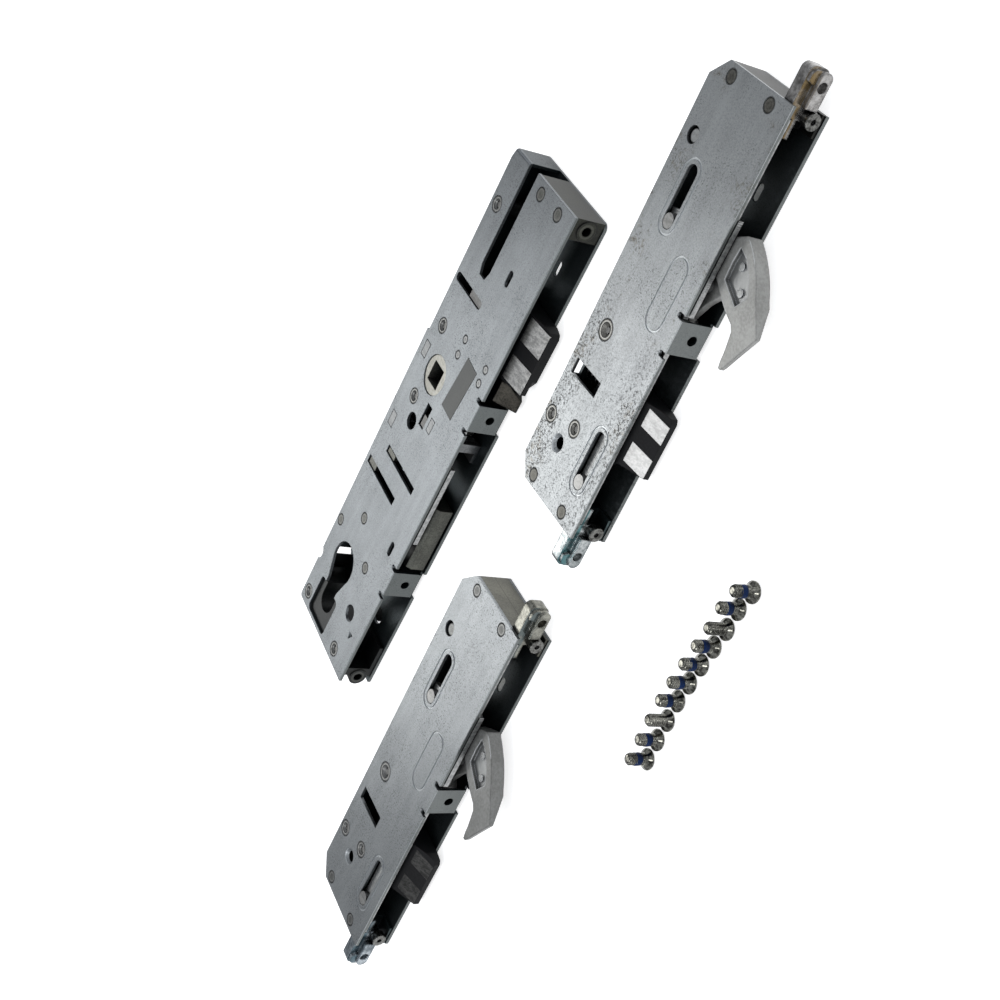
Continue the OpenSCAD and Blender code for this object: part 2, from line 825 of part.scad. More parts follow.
module deadbolt() {
    x1 = -0.6;
    pin_x = key_pivot[0] - key_r * sin(key_half);
    color([0.42, 0.42, 0.38])
        difference() {
            union() {
                translate([0, bolt_y1, 0])
                    rotate([90, 0, 0])
                        linear_extrude(bolt_h)
                            polygon([[bolt_rear, bolt_z0], [x1, bolt_z0], [x1, bolt_z1 - 1.6],
                                [x1 - 1.4, bolt_z1], [bolt_rear, bolt_z1]]);
                // guide lugs that run in the front plate slots
                box([guide_a, bolt_y1 - guide_w, bolt_z1 - 1],
                    [guide_a + guide_l, bolt_y1 - 0.5, case_t - 0.5]);
                box([guide_b, guide_y, bolt_z1 - 1],
                    [guide_b + guide_l, guide_y + guide_w + 0.2, case_t - 0.5]);
            }
            // slot for the pin of the key lever
            box([pin_x - key_pin_r - 0.4, bolt_y0 - 1, 3.6],
                [pin_x + key_pin_r + 0.4, bolt_y0 + 8.6, case_t]);
            box([bolt_rear - 1, bolt_y0 + 19, 3.4], [-16, bolt_y1 - 6, case_t]);
        }
}

module key_lever() {
    color([0.58, 0.59, 0.6])
        translate([key_pivot[0], key_pivot[1], 0])
            difference() {
                union() {
                    translate([0, 0, floor_z + gap])
                        cylinder(h = key_z1 - floor_z - gap, r = 5);
                    translate([0, 0, key_z0])
                        rotate([0, 0, 90 + key_half]) {
                            translate([0, -2.6, 0])
                                cube([key_r, 5.2, key_z1 - key_z0]);
                            translate([key_r, 0, 0])
                                cylinder(h = key_z1 - key_z0, r = 2.9);
                            translate([key_r, 0, -4.6])
                                cylinder(h = 5, r = key_pin_r);
                        }
                    // lower arm over the cylinder cam
                    translate([0, 0, 3.4])
                        rotate([0, 0, 174])
                            translate([0, -2.2, 0])
                                cube([14.5, 4.4, key_z1 - 3.4]);
                }
                translate([0, 0, -1])
                    cylinder(h = case_t, r = flush_low_r + run);
            }
}

module locking_catch() {
    color([0.7, 0.69, 0.65]) {
        box([catch_x, catch_y, slider_z0], [catch_x + 3.4, catch_y + 13, slider_z1]);
        box([catch_x + 0.3, catch_y + 8.3, slider_z0],
            [catch_x + 3.3, catch_y + 12.8, case_t - 0.5]);
    }
}

// Hook case

module hook_outline() {
    c = hook_chamfer;
    polygon([[0, 0], [c - hook_case_w, 0], [-hook_case_w, -c],
        [-hook_case_w, c - hook_case_l], [c - hook_case_w - 0.6, -hook_case_l],
        [0, -hook_case_l]]);
}

module hook_rivet_holes() {
    for (p = hook_tubes)
        disc(p, tube_r);
    disc(lever_tube, lever_tube_r);
    for (p = hook_flush)
        disc(p, hook_flush_r);
}

module hook_back_plate() {
    x0 = -hook_case_w;
    color([0.6, 0.61, 0.62]) {
        slab(0, plate_t)
            difference() {
                hook_outline();
                hook_rivet_holes();
                disc(pivot, pivot_r);
                lug_tip_gap(hook_lug_y);
                slot_y([-10.8, -30.6], 3.2, 2.6);
            }
        // folded back edge, open beside the latch
        box([x0, pivot[1] - 26.5, 0], [x0 + plate_t, -hook_chamfer - 0.6, roof_z - seat]);
        box([x0, hook_chamfer + 1.3 - hook_case_l, 0],
            [x0 + plate_t, hook_tubes[0][1] - tube_r - 0.9, roof_z - seat]);
        // folded spring seat and half sheared stop post
        box([side_seat - plate_t, side_mid - 4, floor_z - eps], [side_seat, side_mid + 4, 8.4]);
        post(stop_post, floor_z - eps, roof_z - 1.4, stop_r);
    }
}

module hook_front_plate() {
    groove = 0.25;
    line = 0.7;
    color([0.66, 0.67, 0.68])
        difference() {
            union() {
                slab(roof_z, case_t)
                    difference() {
                        hook_outline();
                        hook_rivet_holes();
                        for (p = [slot_a, slot_b])
                            slot_y(p, slide_travel, side_slot_w);
                        disc([stop_post[0] - 0.7, stop_post[1] - 0.1], stop_r + gap);
                        disc(sink_hole, sink_r);
                        guide_slot(-37, -20.7, side_mid - 1.2, side_mid + 4.2);
                        lug_notches(hook_lug_y);
                    }
                lug(hook_lug_y);
            }
            // drawn rims around the slots and the pressed oval
            slab(case_t - groove, case_t + 1) {
                for (p = [slot_a, slot_b])
                    slot_ring(p, slide_travel, side_slot_w + 4, line);
                slot_ring(pressed_oval, 16, 9.4, line);
            }
            translate([sink_hole[0], sink_hole[1], roof_z - 0.1])
                cylinder(h = plate_t + 0.2, r1 = sink_r, r2 = sink_r + 1.4);
        }
}

module connector_way() {
    box([rod_x0 - 0.4, -1, joint_z - joint_r - gap], [1, 20, roof_z + 1]);
}

module hook_top_block() {
    c = hook_chamfer;
    color([0.46, 0.46, 0.43])
        difference() {
            slab(floor_z, roof_z)
                difference() {
                    polygon([[-0.4, 0], [c - hook_case_w, 0], [0.2 - hook_case_w, -c],
                        [0.2 - hook_case_w, -end_h], [-0.4, -end_h]]);
                    for (p = hook_flush)
                        disc(p, hook_flush_r);
                }
            translate([0, -end_h, 0])
                connector_way();
        }
}

module hook_bottom_block() {
    c = hook_chamfer;
    y0 = -hook_case_l;
    color([0.36, 0.4, 0.4])
        difference() {
            slab(floor_z, roof_z)
                difference() {
                    polygon([[-0.4, y0], [c - hook_case_w - 0.4, y0], [0.2 - hook_case_w, y0 + c],
                        [0.2 - hook_case_w, y0 + end_h_low], [-0.4, y0 + end_h_low]]);
                    for (p = hook_flush)
                        disc(p, hook_flush_r);
                }
            translate([0, y0, 0])
                connector_way();
        }
}

module hook_tube_rivets() {
    color([0.6, 0.6, 0.6]) {
        for (p = hook_tubes)
            difference() {
                tube_rivet(p, tube_r, tube_bore);
                flare(p, tube_r - 0.4, tube_bore);
            }
        difference() {
            tube_rivet(lever_tube, lever_tube_r, tube_bore);
            flare(lever_tube, lever_tube_r - 0.6, tube_bore);
        }
    }
}

module hook_flush_rivets() {
    color([0.62, 0.62, 0.6])
        for (p = hook_flush)
            rivet_post(p, 0, hook_flush_r);
}

module hook_pivot_pin() {
    color([0.66, 0.66, 0.66])
        post(pivot, 0, hook_z1, pivot_r);
}

// Outlines of the hook with the pivot at the origin: the outer curve, then
// the tip and the inner edge
hook_curve = [-0.2, 5.1];
function arc_points(a0, a1, n) = [for (i = [0:n])
    let (a = a0 + (a1 - a0) * i / n)
    hook_curve + hook_r * [cos(a), sin(a)]];

tip_corner = [38.4, 18];
tip_turn = 25.9;                 // angle of the end face of the tip
tip_bevel = 9.1;
tip_t = 1.4;
hook_inner = [tip_corner, [36.3, 13.8], [34.2, 9.6], [31.8, 4.6], [31, 3.5], [30, 3.5],
    [29.4, 5.6], [29.2, 7.8], [28.4, 11.6], [27.7, 14.4], [26, 16],
    [22.1, 17.4], [16.7, 19.9], [12.5, 22.6], [2.1, 28]];
hook_back = [[7.5, 34.4], [11, 36.6]];
hook_web = [[2.1, 28], [7.5, 32], [18.5, 27], [17.5, 19.4], [13.4, 18.7],
    [9.3, 13.4], [6.2, 7], [5.5, 0], [-6.5, 0], [-5.9, 11], [-1.9, 25]];
hook_hollow = [[14.8, 35.1], [19.1, 33.6], [23.7, 29.8], [26.9, 25.4],
    [24.1, 20.6], [19.3, 22.7], [14.8, 24.7], [14.4, 30]];
hook_dots = [[17.9, 30.6], [22.4, 24.4]];

module at_pivot() {
    translate([pivot[0], pivot[1], 0])
        children();
}

module hook_piece() {
    head = concat(arc_points(65.4, 35.4, 10), hook_inner, hook_back);
    color([0.5, 0.5, 0.48])
        at_pivot()
            difference() {
                union() {
                    slab(hook_z0, hook_z1)
                        polygon(head);
                    // thinner web down to the hub
                    slab(hook_z0, web_z1)
                        polygon(hook_web);
                    post([0, 0], floor_z + gap, hook_z1, pivot_hub_r);
                    post(hook_pin_r * [cos(drive_a), sin(drive_a)],
                        hook_z0, slider_z1, drive_pin_r);
                }
                post([0, 0], 0, case_t, pivot_r + run);
                hook_pocket();
                tip_wedge();
            }
}

// Sloped underside that thins the hook towards the end face of its tip
module tip_wedge() {
    rise = (hook_t - tip_t) / tip_bevel;
    translate([tip_corner[0], tip_corner[1], hook_z0])
        rotate([0, 0, -tip_turn])
            translate([0, 20, 0])
                rotate([90, 0, 0])
                    linear_extrude(40)
                        polygon([[-tip_bevel, 0], [2, (tip_bevel + 2) * rise],
                            [2, -1], [-tip_bevel, -1]]);
}

// Recessed pocket in the hook face with its two ejector dots
module hook_pocket() {
    difference() {
        slab(hook_z1 - 1.4, hook_z1 + 1)
            polygon(hook_hollow);
        for (p = hook_dots)
            post(p, hook_z1 - 2, hook_z1 - 0.9, 1.3);
    }
}

// Path of the hook drive pin as seen from the moving slider
function cam_at(u) = [
    pivot[0] + hook_pin_r * cos(drive_a + hook_swing * u),
    pivot[1] + hook_pin_r * sin(drive_a + hook_swing * u) - slide_travel * u];
function cam_way(u) = (cam_at(u + 0.01) - cam_at(u - 0.01)) /
    norm(cam_at(u + 0.01) - cam_at(u - 0.01));
function cam_side(u, s) = cam_at(u) + s * [-cam_way(u)[1], cam_way(u)[0]];

module cam_slot() {
    w = drive_pin_r + gap;
    n = 16;
    polygon(concat([for (i = [0:n]) cam_side(i / n, w)],
        [for (i = [n:-1:0]) cam_side(i / n, -w)]));
    disc(cam_at(0), w);
    disc(cam_at(1), w);
}

module hook_drive_slider() {
    y_low = -hook_case_l;
    color([0.64, 0.65, 0.67])
        difference() {
            slab(slider_z0, slider_z1)
                difference() {
                    union() {
                        translate([rod_x0, y_low + neck_gap])
                            square([rod_x1 - rod_x0, hook_case_l - 2 * neck_gap]);
                        translate([0, pivot[1]])
                            polygon([[rail_x1, 9.1], [rail_x1, 41.4], [rail_x0, 41.4],
                                [rail_x0, 33], [-22, 33], [-30.6, 31], [-30.6, -7],
                                [-21, -7], [-10, 5], [rail_x0, 9.1]]);
                        translate([slot_b[0] - 2.6, slot_b[1] - 4])
                            square([6, 26]);
                        disc(slot_b, 3.6);
                    }
                    cam_slot();
                    for (p = [slot_a, slot_b])
                        disc(p, slot_pin_d / 2 - 1);
                }
        }
}

module hook_slider_pins() {
    color([0.74, 0.74, 0.73])
        for (p = [slot_a, slot_b]) {
            post(p, slider_z0, slider_z1 + eps, slot_pin_d / 2 - 1);
            post(p, slider_z1, case_t - 0.1, slot_pin_d / 2);
        }
}

// Connector for the faceplate rod, drawn for the top end
module connector() {
    ear_h = connector_h - 0.5;
    hole_z = (ear_z0 + ear_z1) / 2;
    difference() {
        union() {
            translate([rod_x0, 0, 0])
                rotate([90, 0, 90])
                    linear_extrude(-ear_t - rod_x0)
                        arch_end(ear_z0, roof_z - 0.2, gap - neck_gap, connector_h);
            translate([-ear_t - eps, 0, 0])
                rotate([90, 0, 90])
                    linear_extrude(ear_t + eps)
                        arch_end(ear_z0, ear_z1, joint_r - joint_y + 0.1, ear_h);
            // closed top of the channel between body and ear
            translate([-ear_t - eps, 0, 0])
                rotate([90, 0, 90])
                    linear_extrude(ear_t - 1)
                        arch_end(ear_z0 + 1, roof_z - 0.6, ear_h - 4, ear_h - 0.2);
            // tongue under the slider neck
            box([rod_x0, -10, ear_z1 - 1.2], [rod_x1, 1, slider_z0 - eps]);
        }
        bar_x(rod_x0 - 1, 1, connector_h - 4.9, hole_z, tap_d / 2);
        bar_x(rod_x0 - 1, 1, -joint_y, joint_z, joint_shank_r);
    }
}

// Flat bar end with two round corners, in the y z plane
module arch_end(z0, z1, y0, y1) {
    r = 2.2;
    translate([y0, z0])
        square([y1 - r - y0, z1 - z0]);
    translate([y0, z0 + r])
        square([y1 - y0, z1 - z0 - 2 * r + eps]);
    disc([y1 - r, z0 + r], r);
    disc([y1 - r, max(z1 - r, z0 + r)], r);
}

module hook_top_connector() {
    color([0.56, 0.53, 0.45])
        connector();
}

module hook_bottom_connector() {
    color([0.58, 0.6, 0.6])
        translate([0, -hook_case_l, 0])
            mirror([0, 1, 0])
                connector();
}

module joint_screw(y) {
    difference() {
        union() {
            bar_x(-ear_t, joint_x, y, joint_z, joint_r);
            bar_x(rod_x0 + 0.5, -ear_t + eps, y, joint_z, joint_shank_r);
        }
        bar_x(joint_x - 0.8, joint_x + 1, y, joint_z, 0.9);
    }
}

module hook_connector_screws() {
    color([0.7, 0.7, 0.68]) {
        joint_screw(-joint_y);
        joint_screw(joint_y - hook_case_l);
    }
}

module side_faces() {
    for (y = [[side_latch_y0 - 0.2, side_latch_y0 + 6.8], [side_latch_y0 + 12.6, side_latch_y0 + 19]])
        slope_plate(side_latch_out, side_tip_z, side_slope, y[0], y[1], 8.4, 2.2, plate_thick);
}

module hook_latch_body() {
    color([0.1, 0.1, 0.11])
        difference() {
            latch_prism(side_step, side_latch_out, latch_z0, side_tip_z, side_slope,
                work_z1, side_latch_y0, side_latch_y1);
            side_faces();
            slab(-1, case_t)
                polygon([[side_latch_out - 4, side_latch_y1 + 1], [side_latch_out - 4, side_latch_y1],
                    [side_latch_out - 0.8, side_latch_y1 - 0.6], [side_latch_out, side_latch_y1 - 2],
                    [side_latch_out + 1, side_latch_y1 - 2], [side_latch_out + 1, side_latch_y1 + 1]]);
            bar_x(side_step - 1, side_bore_x, side_mid, spring_z, spring_bore);
        }
    color([0.1, 0.1, 0.11])
        difference() {
            box([side_rear, side_mid - 6.6, latch_z0], [side_step + eps, side_mid + 6.6, work_z1]);
            bar_x(side_rear - 1, side_step + 1, side_mid, spring_z, spring_bore);
        }
}

module hook_latch_face_plates() {
    color([0.86, 0.86, 0.84])
        intersection() {
            side_faces();
            box([-30, side_latch_y0, 0], [side_latch_out, side_latch_y1, case_t]);
        }
}

module hook_latch_spring() {
    color([0.5, 0.5, 0.5])
        translate([side_seat + seat, side_mid, spring_z])
            rotate([0, 90, 0])
                coil(side_bore_x - side_seat - 2 * seat, spring_r, spring_wire / 2, 10);
}

module hook_release_lever() {
    z0 = floor_z + gap;
    z1 = hook_z0 - gap;
    color([0.55, 0.56, 0.58])
        translate([lever_tube[0], lever_tube[1], 0])
            difference() {
                union() {
                    post([0, 0], z0, z1, lever_hub_r);
                    slab(z0, z1)
                        polygon([[-5.4, 0.1], [-6, 24.1], [-1.2, 24.1], [3.4, 4.1]]);
                    slab(z0, z1)
                        polygon([[0.4, -5.5], [12.4, -7.5], [12.4, -3.9], [5.4, 4.1]]);
                }
                post([0, 0], 0, case_t, lever_tube_r + run);
            }
}

// Loose screws standing on their heads

module fixing_screws() {
    head_h = (screw_head_d - screw_d) / 2;
    color([0.42, 0.42, 0.4])
        for (i = [0:screw_n - 1])
            translate([screw_x + screw_dx[i], screw_y - screw_pitch * i, 0])
                difference() {
                    union() {
                        cylinder(h = 0.4, r = screw_head_d / 2);
                        translate([0, 0, 0.4])
                            cylinder(h = head_h, r1 = screw_head_d / 2, r2 = screw_d / 2);
                        cylinder(h = screw_l - 0.6, r = screw_d / 2);
                        translate([0, 0, screw_l - 0.6])
                            cylinder(h = 0.6, r1 = screw_d / 2, r2 = screw_d / 2 - 0.5);
                    }
                    for (a = [0, 90])
                        rotate([0, 0, a])
                            translate([-1.6, -0.35, -1])
                                cube([3.2, 0.7, 2.2]);
                }
}

// Placing in the shared frame

module at_centre() {
    translate([-mid_x, -mid_y, 0])
        children();
}

module at_upper() {
    translate([upper_x - mid_x, upper_y - mid_y, 0])
        rotate([0, 0, upper_yaw])
            children();
}

module at_lower() {
    translate([lower_x - mid_x, lower_y - mid_y, 0])
        rotate([0, 0, lower_yaw])
            children();
}

at_centre() centre_back_plate();
at_centre() centre_front_plate();
at_centre() centre_top_block();
at_centre() centre_bottom_block();
at_centre() centre_tube_rivets();
at_centre() centre_flush_rivets();
at_centre() centre_small_rivets();
at_centre() spring_cage();
at_centre() guide_bridge();
at_centre() latch_guide();
at_centre() follower();
at_centre() follower_spring();
at_centre() centre_drive_slider();
at_centre() latch_body();
at_centre() latch_face_plates();
at_centre() latch_tail();
at_centre() latch_spring();
at_centre() trigger();
at_centre() trigger_spring();
at_centre() deadbolt();
at_centre() key_lever();
at_centre() locking_catch();
at_upper() hook_back_plate();  // upper_back_plate
at_upper() hook_front_plate();  // upper_front_plate
at_upper() hook_top_block();  // upper_top_block
at_upper() hook_bottom_block();  // upper_bottom_block
at_upper() hook_tube_rivets();  // upper_tube_rivets
at_upper() hook_flush_rivets();  // upper_flush_rivets
at_upper() hook_piece();  // upper_hook
at_upper() hook_pivot_pin();  // upper_hook_pivot
at_upper() hook_drive_slider();  // upper_drive_slider
at_upper() hook_slider_pins();  // upper_slider_pins
at_upper() hook_top_connector();  // upper_top_connector
at_upper() hook_bottom_connector();  // upper_bottom_connector
at_upper() hook_connector_screws();  // upper_connector_screws
at_upper() hook_latch_body();  // upper_latch_body
at_upper() hook_latch_face_plates();  // upper_latch_face_plates
at_upper() hook_latch_spring();  // upper_latch_spring
at_upper() hook_release_lever();  // upper_release_lever
at_lower() hook_back_plate();  // lower_back_plate
at_lower() hook_front_plate();  // lower_front_plate
at_lower() hook_top_block();  // lower_top_block
at_lower() hook_bottom_block();  // lower_bottom_block
at_lower() hook_tube_rivets();  // lower_tube_rivets
at_lower() hook_flush_rivets();  // lower_flush_rivets
at_lower() hook_piece();  // lower_hook
at_lower() hook_pivot_pin();  // lower_hook_pivot
at_lower() hook_drive_slider();  // lower_drive_slider
at_lower() hook_slider_pins();  // lower_slider_pins
at_lower() hook_top_connector();  // lower_top_connector
at_lower() hook_bottom_connector();  // lower_bottom_connector
at_lower() hook_connector_screws();  // lower_connector_screws
at_lower() hook_latch_body();  // lower_latch_body
at_lower() hook_latch_face_plates();  // lower_latch_face_plates
at_lower() hook_latch_spring();  // lower_latch_spring
at_lower() hook_release_lever();  // lower_release_lever
at_centre() fixing_screws();
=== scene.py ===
import math
import random

import bpy
from mathutils import Matrix, Vector


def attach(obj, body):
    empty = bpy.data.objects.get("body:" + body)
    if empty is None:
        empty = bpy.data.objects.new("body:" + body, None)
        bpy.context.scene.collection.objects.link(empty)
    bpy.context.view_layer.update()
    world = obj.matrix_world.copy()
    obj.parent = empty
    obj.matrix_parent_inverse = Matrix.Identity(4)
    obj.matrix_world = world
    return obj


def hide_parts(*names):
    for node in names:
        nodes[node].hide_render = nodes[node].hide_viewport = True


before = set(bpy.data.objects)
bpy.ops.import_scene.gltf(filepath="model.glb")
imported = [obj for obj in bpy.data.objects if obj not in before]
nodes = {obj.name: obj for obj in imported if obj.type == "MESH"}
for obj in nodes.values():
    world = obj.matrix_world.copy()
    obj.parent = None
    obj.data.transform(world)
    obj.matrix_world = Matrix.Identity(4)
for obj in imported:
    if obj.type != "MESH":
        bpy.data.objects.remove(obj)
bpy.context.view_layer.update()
rng = random.Random(7)
MM = 0.001
FULL_TURN = 2 * math.pi

# Where the cases lie, in millimetres: x and y of each case's corner and its turn.
# MID is the middle of the whole set, which is the origin of the frame.
MID = (45.825, 115.2584)
PLACES = {
    "centre": (0.0, 0.0, 0.0),
    "upper": (65.9, 285.8, math.radians(3.38)),
    "lower": (77.0, 94.7, math.radians(2.69)),
}

# Places in a case, in that case's own millimetres: x, y and radius of the rivets
CENTRE_TUBES = [(-39.5, 110.2, 3), (-45, 190.3, 3), (-42.6, 140, 3), (-46.5, 5.6, 3),
                (-12.7, 5.2, 3)]
CENTRE_FLUSH = [(-23.7, 206.4, 2.5), (-9.8, 206.4, 2.5), (-33.5, 55.2, 2.3), (-48, 42.7, 2.3),
                (-18.2, 42.8, 2.3)]
CENTRE_SMALL = [(-25.7, 145.2, 1.6), (-25.7, 138.5, 1.6), (-6.5, 145.2, 1.6), (-6.5, 139.3, 1.6)]
HOOK_TUBES = [(-36.6, -125.7, 3), (-22.5, -122.6, 3), (-30.4, -90.1, 3.6)]
HOOK_FLUSH = [(-30.2, -3.9, 2.3), (-9.4, -3.9, 2.3), (-30.8, -146.3, 2.3), (-9.6, -146.3, 2.3)]

# Circles that fill the recess in the hook's face, the height of that face, and two screw bosses
POCKET = [(5.5, -45.0, 6.5), (8.0, -49.0, 6.5), (10.5, -53.0, 6.5)]
HOOK_TOP = 9.8
TOP_BOSS = (0, 207, 7.3)
BOTTOM_BOSS = (0, 2.4, 6.7)
BOSS_RADIUS = 3.6
FOREND_X = -MID[0]

# End of the stop post, the staked tabs as x0, y0, x1, y1, and what closes the view through a case
STOP_END = (-33.7, -24.25)
STOP_RADIUS = 2.15
STAKED_TABS = [(-48, 91.6, -44, 98), (-48, 124.1, -44, 130.5), (-22.9, 106.5, -19.5, 112.3)]
SEAM = 0.24
EDGE_WALLS = {"upper": (-40.3, -129.5, -39.9, -111.3), "lower": (-40.3, -129.5, -39.9, -107.0)}
SLOT_END = (-10.8, -29.0)
SLOT_END_RADIUS, SLOT_END_STRETCH = 1.22, 1.6
HOLE_END = (-13.9, 23.7)
HOLE_END_RADIUS = 2.85
HOLE_WALL = (-49.1, 19.5, -48.7, 24.7)
CORE_RADIUS, CORE_WAVE = 1.12, 0.15
LABEL = [(-21.0, 119.7), (-11.8, 119.0), (-10.0, 141.0), (-19.0, 141.9)]

# Lower and upper ends of those pieces; INSIDE is the space between the plates
INSIDE = (1.25, 12.75)
CORE_Z = (11.6, 13.1)
STOP_Z = (11.3, 13.5)
SEAM_Z = (13.9, 14.03)
SLOT_END_Z = (0.3, 1.0)
HOLE_END_Z = (0.3, 0.9)
LABEL_Z = (14.0, 14.08)

# Steps from 0 to 1 in height, which tell the surfaces of a plate apart
ON_FACE = (13.7, 13.9)
NEAR_FACE = (13.5, 13.6)
UNDER_FRONT = (13.0, 12.7)
OVER_BACK = (0.9, 1.1)
PRESSED_LINES = (13.72, 13.93)
RIVET_MOUTH = (12.6, 12.9)

# Steps from 0 to 1 across and along a hook case, where its rust sets in
BACK_EDGE = (-27, -36)
FOREND_EDGE = (-12, -4)
LATCH_END = (-66, -100)


def at(case, x, y, z):
    ox, oy, a = PLACES[case]
    return Vector(((ox + math.cos(a) * x - math.sin(a) * y - MID[0]) * MM,
                   (oy + math.sin(a) * x + math.cos(a) * y - MID[1]) * MM, z * MM))


def placed(case, rivets):
    return [(at(case, x, y, 0), r * MM) for x, y, r in rivets]


def sheet_rivets(case):
    if case == "centre":
        return placed(case, CENTRE_TUBES + CENTRE_FLUSH + CENTRE_SMALL)
    return placed(case, HOOK_TUBES + HOOK_FLUSH)


# Material helpers. The occlusion at which the painted shade ends, the agreement of the rounded with
# the plain normal that marks an edge, and the period of a wave texture of scale 1.
SHADE_END = (0.22, 0.8)
EDGE_BEND = (0.99, 0.93)
WAVE_PERIOD = 0.314


class Tree:
    """A material's node tree with short ways to add and join nodes."""

    def __init__(self, name):
        self.material = bpy.data.materials.new(name)
        self.material.use_nodes = True
        self.nodes = self.material.node_tree.nodes
        self.links = self.material.node_tree.links
        self.nodes.clear()
        self.out = self.nodes.new("ShaderNodeOutputMaterial")
        self.coord = self.nodes.new("ShaderNodeTexCoord").outputs["Object"]

    def put(self, socket, value):
        if isinstance(value, bpy.types.NodeSocket):
            self.links.new(value, socket)
        elif value is not None:
            socket.default_value = value

    def math(self, op, a, b=None, clamp=False):
        n = self.nodes.new("ShaderNodeMath")
        n.operation = op
        n.use_clamp = clamp
        self.put(n.inputs[0], a)
        self.put(n.inputs[1], b)
        return n.outputs[0]

    def add(self, a, b, clamp=False):
        return self.math("ADD", a, b, clamp)

    def sub(self, a, b):
        return self.math("SUBTRACT", a, b)

    def mul(self, a, b, clamp=False):
        return self.math("MULTIPLY", a, b, clamp)

    def blend(self, *shares):
        """Sum of values, each with its weight."""
        total = None
        for value, weight in shares:
            part = self.mul(value, weight)
            total = part if total is None else self.add(total, part)
        return total

    def scaled(self, scale, turn):
        n = self.nodes.new("ShaderNodeMapping")
        n.inputs["Scale"].default_value = scale
        n.inputs["Rotation"].default_value = (0, 0, turn)
        self.links.new(self.coord, n.inputs["Vector"])
        return n.outputs[0]

    def noise(self, scale, detail=3.0, rough=0.6, vector=None):
        n = self.nodes.new("ShaderNodeTexNoise")
        n.inputs["Scale"].default_value = scale
        n.inputs["Detail"].default_value = detail
        n.inputs["Roughness"].default_value = rough
        self.links.new(vector or self.coord, n.inputs["Vector"])
        return n.outputs[0]

    def step(self, value, lo, hi):
        """0 below lo, 1 above hi, smooth between them; lo may be above hi."""
        n = self.nodes.new("ShaderNodeMapRange")
        n.interpolation_type = "SMOOTHSTEP"
        self.put(n.inputs["Value"], value)
        n.inputs["From Min"].default_value = min(lo, hi)
        n.inputs["From Max"].default_value = max(lo, hi)
        n.inputs["To Min"].default_value = 0.0 if lo < hi else 1.0
        n.inputs["To Max"].default_value = 1.0 if lo < hi else 0.0
        return n.outputs["Result"]

    def step_mm(self, value, lo, hi):
        """The same for a place or distance, with lo and hi in millimetres."""
        return self.step(value, lo * MM, hi * MM)

    def band(self, value, lo, hi, soft):
        """1 between lo and hi with soft ends, all in millimetres."""
        return self.mul(self.step_mm(value, lo - soft, lo + soft),
                        self.step_mm(value, hi + soft, hi - soft))

    def span(self, value, lo, hi):
        n = self.nodes.new("ShaderNodeMapRange")
        self.put(n.inputs["Value"], value)
        n.inputs["To Min"].default_value = lo
        n.inputs["To Max"].default_value = hi
        return n.outputs["Result"]

    def mix(self, fac, a, b):
        n = self.nodes.new("ShaderNodeMix")
        n.data_type = "RGBA"
        self.put(n.inputs[0], fac)
        self.put(n.inputs[6], (*a, 1) if isinstance(a, tuple) else a)
        self.put(n.inputs[7], (*b, 1) if isinstance(b, tuple) else b)
        return n.outputs[2]

    def dye(self, color, mask, weight, tone):
        """The colour with a tone laid over it where mask is 1."""
        return self.mix(self.mul(mask, weight), color, tone)

    def xyz(self, vector=None):
        n = self.nodes.new("ShaderNodeSeparateXYZ")
        self.links.new(vector or self.coord, n.inputs[0])
        return n.outputs

    def face_normal(self):
        return self.nodes.new("ShaderNodeNewGeometry").outputs["True Normal"]

    def rounded(self, radius, samples):
        n = self.nodes.new("ShaderNodeBevel")
        n.samples = samples
        n.inputs["Radius"].default_value = radius
        return n.outputs[0]

    def edges(self, radius):
        """1 where the rounded normal leaves the face's own normal: at edges and corners."""
        n = self.nodes.new("ShaderNodeVectorMath")
        n.operation = "DOT_PRODUCT"
        self.links.new(self.rounded(radius, 6), n.inputs[0])
        self.links.new(self.face_normal(), n.inputs[1])
        return self.step(n.outputs["Value"], *EDGE_BEND)

    def open_sky(self, reach):
        """1 on outer faces, falling to 0 in corners and inside the cases."""
        n = self.nodes.new("ShaderNodeAmbientOcclusion")
        n.samples = 6
        n.inputs["Distance"].default_value = reach
        return n.outputs["AO"]

    def case_axes(self, case):
        """Places along and across one of the laid out cases, from its corner."""
        corner = at(case, 0, 0, 0)
        cos, sin = math.cos(PLACES[case][2]), math.sin(PLACES[case][2])
        x, y, _ = self.xyz()
        dx = self.sub(x, corner.x)
        dy = self.sub(y, corner.y)
        along = self.sub(self.mul(dy, cos), self.mul(dx, sin))
        across = self.add(self.mul(dx, cos), self.mul(dy, sin))
        return along, across

    def from_edge(self, rivets, plane=(1, 1, 0)):
        """Distance outwards from the edge of the nearest rivet or boss, in metres."""
        flat = self.nodes.new("ShaderNodeVectorMath")
        flat.operation = "MULTIPLY"
        self.links.new(self.coord, flat.inputs[0])
        flat.inputs[1].default_value = plane
        nearest = None
        for centre, radius in rivets:
            n = self.nodes.new("ShaderNodeVectorMath")
            n.operation = "DISTANCE"
            self.links.new(flat.outputs[0], n.inputs[0])
            n.inputs[1].default_value = [c * m for c, m in zip(centre, plane)]
            away = self.sub(n.outputs["Value"], radius)
            nearest = away if nearest is None else self.math("MINIMUM", nearest, away)
        return nearest

    def bump(self, height, strength, distance, rounding):
        """Fine relief, on a normal that is rounded at the edges."""
        n = self.nodes.new("ShaderNodeBump")
        n.inputs["Strength"].default_value = strength
        n.inputs["Distance"].default_value = distance
        self.links.new(height, n.inputs["Height"])
        self.links.new(self.rounded(rounding, 4), n.inputs["Normal"])
        return n.outputs[0]

